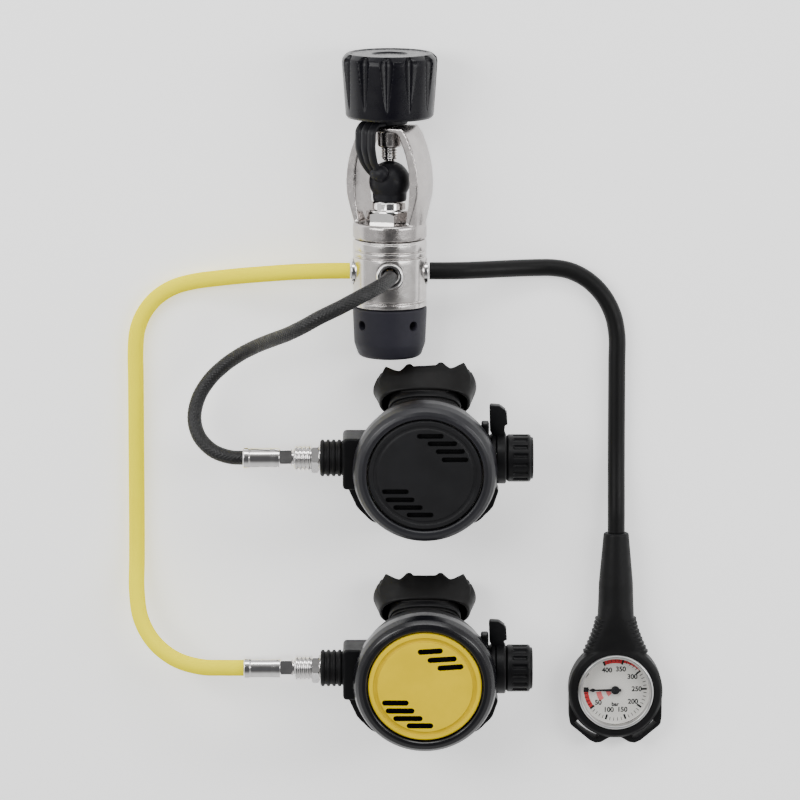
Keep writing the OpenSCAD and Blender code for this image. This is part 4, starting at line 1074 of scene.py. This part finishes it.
face = spun([(1.02, 9.25), (18.35, 9.25), (18.4, 9.7), (18.3, 9.85), (1.02, 9.85)], 128)
finish(face.object("dial_face", GAUGE), "gauge_head", "dial_white", DIAL, instead=["gauge_dial"], sharp=40)

SCALE = [(0, 180), (50, 217.7), (100, 252.4), (150, 289.5), (200, 325.7), (250, 361.7), (300, 397.7),
         (350, 435.3), (400, 472.8)]
INK_Z, INK_TOP, BAND_Z, BAND_TOP, FIGURE_R = 9.8, 9.93, 9.79, 9.9, 11.3


def scale_angle(value):
    return float(np.interp(value, [v for v, a in SCALE], [a for v, a in SCALE]))


def ring_part(shape, r0, r1, a, b, n=24, taper=0.0, z0=INK_Z, z1=INK_TOP):
    """A band between two radii, thinned towards its end by taper."""
    outer = arc((0, 0), r1, a, b, n)
    inner = []
    for k in range(n, -1, -1):
        r, angle = r0 + (r1 - r0) * taper * k / n, radians(a + (b - a) * k / n)
        inner.append((r * cos(angle), r * sin(angle)))
    return shape.prism(outer + inner, z0, z1)


def tick(shape, value, r0, r1, wide):
    return shape.box((r0, -wide / 2, INK_Z), (r1, wide / 2, INK_TOP), turn("Z", scale_angle(value)))


ink = Shape()
for value in range(0, 401, 10):
    major = value % 50 == 0
    tick(ink, value, 13.9 if major else 14.9, 16.6, 1.0 if major else 0.34)
ink.box((-16.7, -1.3, INK_Z), (-14.1, 1.3, INK_TOP + 0.02))
ink.box((-0.4, -1.4, INK_Z), (0.4, 1.4, INK_TOP), shift(-14.9, 7.6, 0) @ turn("Z", -38))
finish(ink.object("dial_marks", GAUGE), "gauge_head", "needle_black", INK)
red = ring_part(Shape(), 14.2, 16.5, scale_angle(400), scale_angle(350), 20, 0.0, BAND_Z, BAND_TOP)
ring_part(red, 14.9, 16.5, scale_angle(350), scale_angle(300), 20, 0.85, BAND_Z, BAND_TOP)
ring_part(red, 14.2, 16.5, 183, scale_angle(50), 20, 0.0, BAND_Z, BAND_TOP)
finish(red.object("dial_red_bands", GAUGE), "gauge_head", None, RED)
pink = ring_part(Shape(), 7.4, 10.1, 187, 217, 14)
ring_part(pink, 2.7, 5.0, 190, 226, 14)
finish(pink.object("dial_pink_bands", GAUGE), "gauge_head", None, PINK)


def figures(name, texts):
    """Dial figures of (text, size, x, y), as one thin raised mesh."""
    joined = bmesh.new()
    for text, size, x, y in texts:
        curve = bpy.data.curves.new(name, "FONT")
        curve.body, curve.size, curve.extrude, curve.offset = text, size, 0.05, 0.1
        curve.align_x, curve.align_y = "CENTER", "CENTER"
        letter = linked(name, curve)
        mesh = evaluated(letter)
        mesh.transform(Matrix.Scale(MM, 4) @ GAUGE @ shift(x, y, 9.88))
        joined.from_mesh(mesh)
        bpy.data.objects.remove(letter)
        bpy.data.curves.remove(curve)
        bpy.data.meshes.remove(mesh)
    mesh = bpy.data.meshes.new(name)
    joined.to_mesh(mesh)
    joined.free()
    return linked(name, mesh)


numbers = [(str(v), 3.6, FIGURE_R * cos(radians(a)), FIGURE_R * sin(radians(a)))
           for v, a in SCALE[1:]]
finish(figures("dial_figures", numbers + [("bar", 2.9, 0, -7.8)]), "gauge_head", "needle_black", INK)

needle = spun(corner([(0, 9.2), (0.8, 9.2), (0.8, 10.9), (2.2, 10.9, 0.1), (2.3, 11.7, 0.3),
                      (1.7, 12, 0.2), (0, 12)]), 48)
needle.prism([(3.1, 0.7), (0, 0.7), (-10.4, 0.42), (-11.8, 1.0), (-14, 0), (-11.8, -1.0), (-10.4, -0.42),
              (0, -0.7), (3.1, -0.7)], 11.1, 11.6)
finish(needle.object("pointer", GAUGE), "gauge_needle", "needle_black", INK,
       instead=["gauge_needle"], sharp=30)


# ---- Inner pieces, as the CAD has them ----

CARRIED = {
    "main_spring": STEEL, "spring_adjuster": BRASS, "first_stage_diaphragm": RUBBER,
    "first_stage_poppet": BRASS, "first_stage_poppet_spring": STEEL, "inlet_filter": BRONZE,
    "port_plugs": CHROME, "gauge_case": CHROME, "gauge_bourdon_tube": BRASS,
}
for which in ("primary", "octopus"):
    CARRIED |= {f"{which}_{part}": m for part, m in (
        ("diaphragm", SILICONE), ("demand_lever", STEEL), ("valve_barrel", CHROME), ("poppet", BRASS),
        ("poppet_spring", STEEL), ("adjust_screw", BRASS), ("exhaust_valve", SILICONE))}
for name, m in CARRIED.items():
    for slot in NODES[name].material_slots:
        slot.material = m
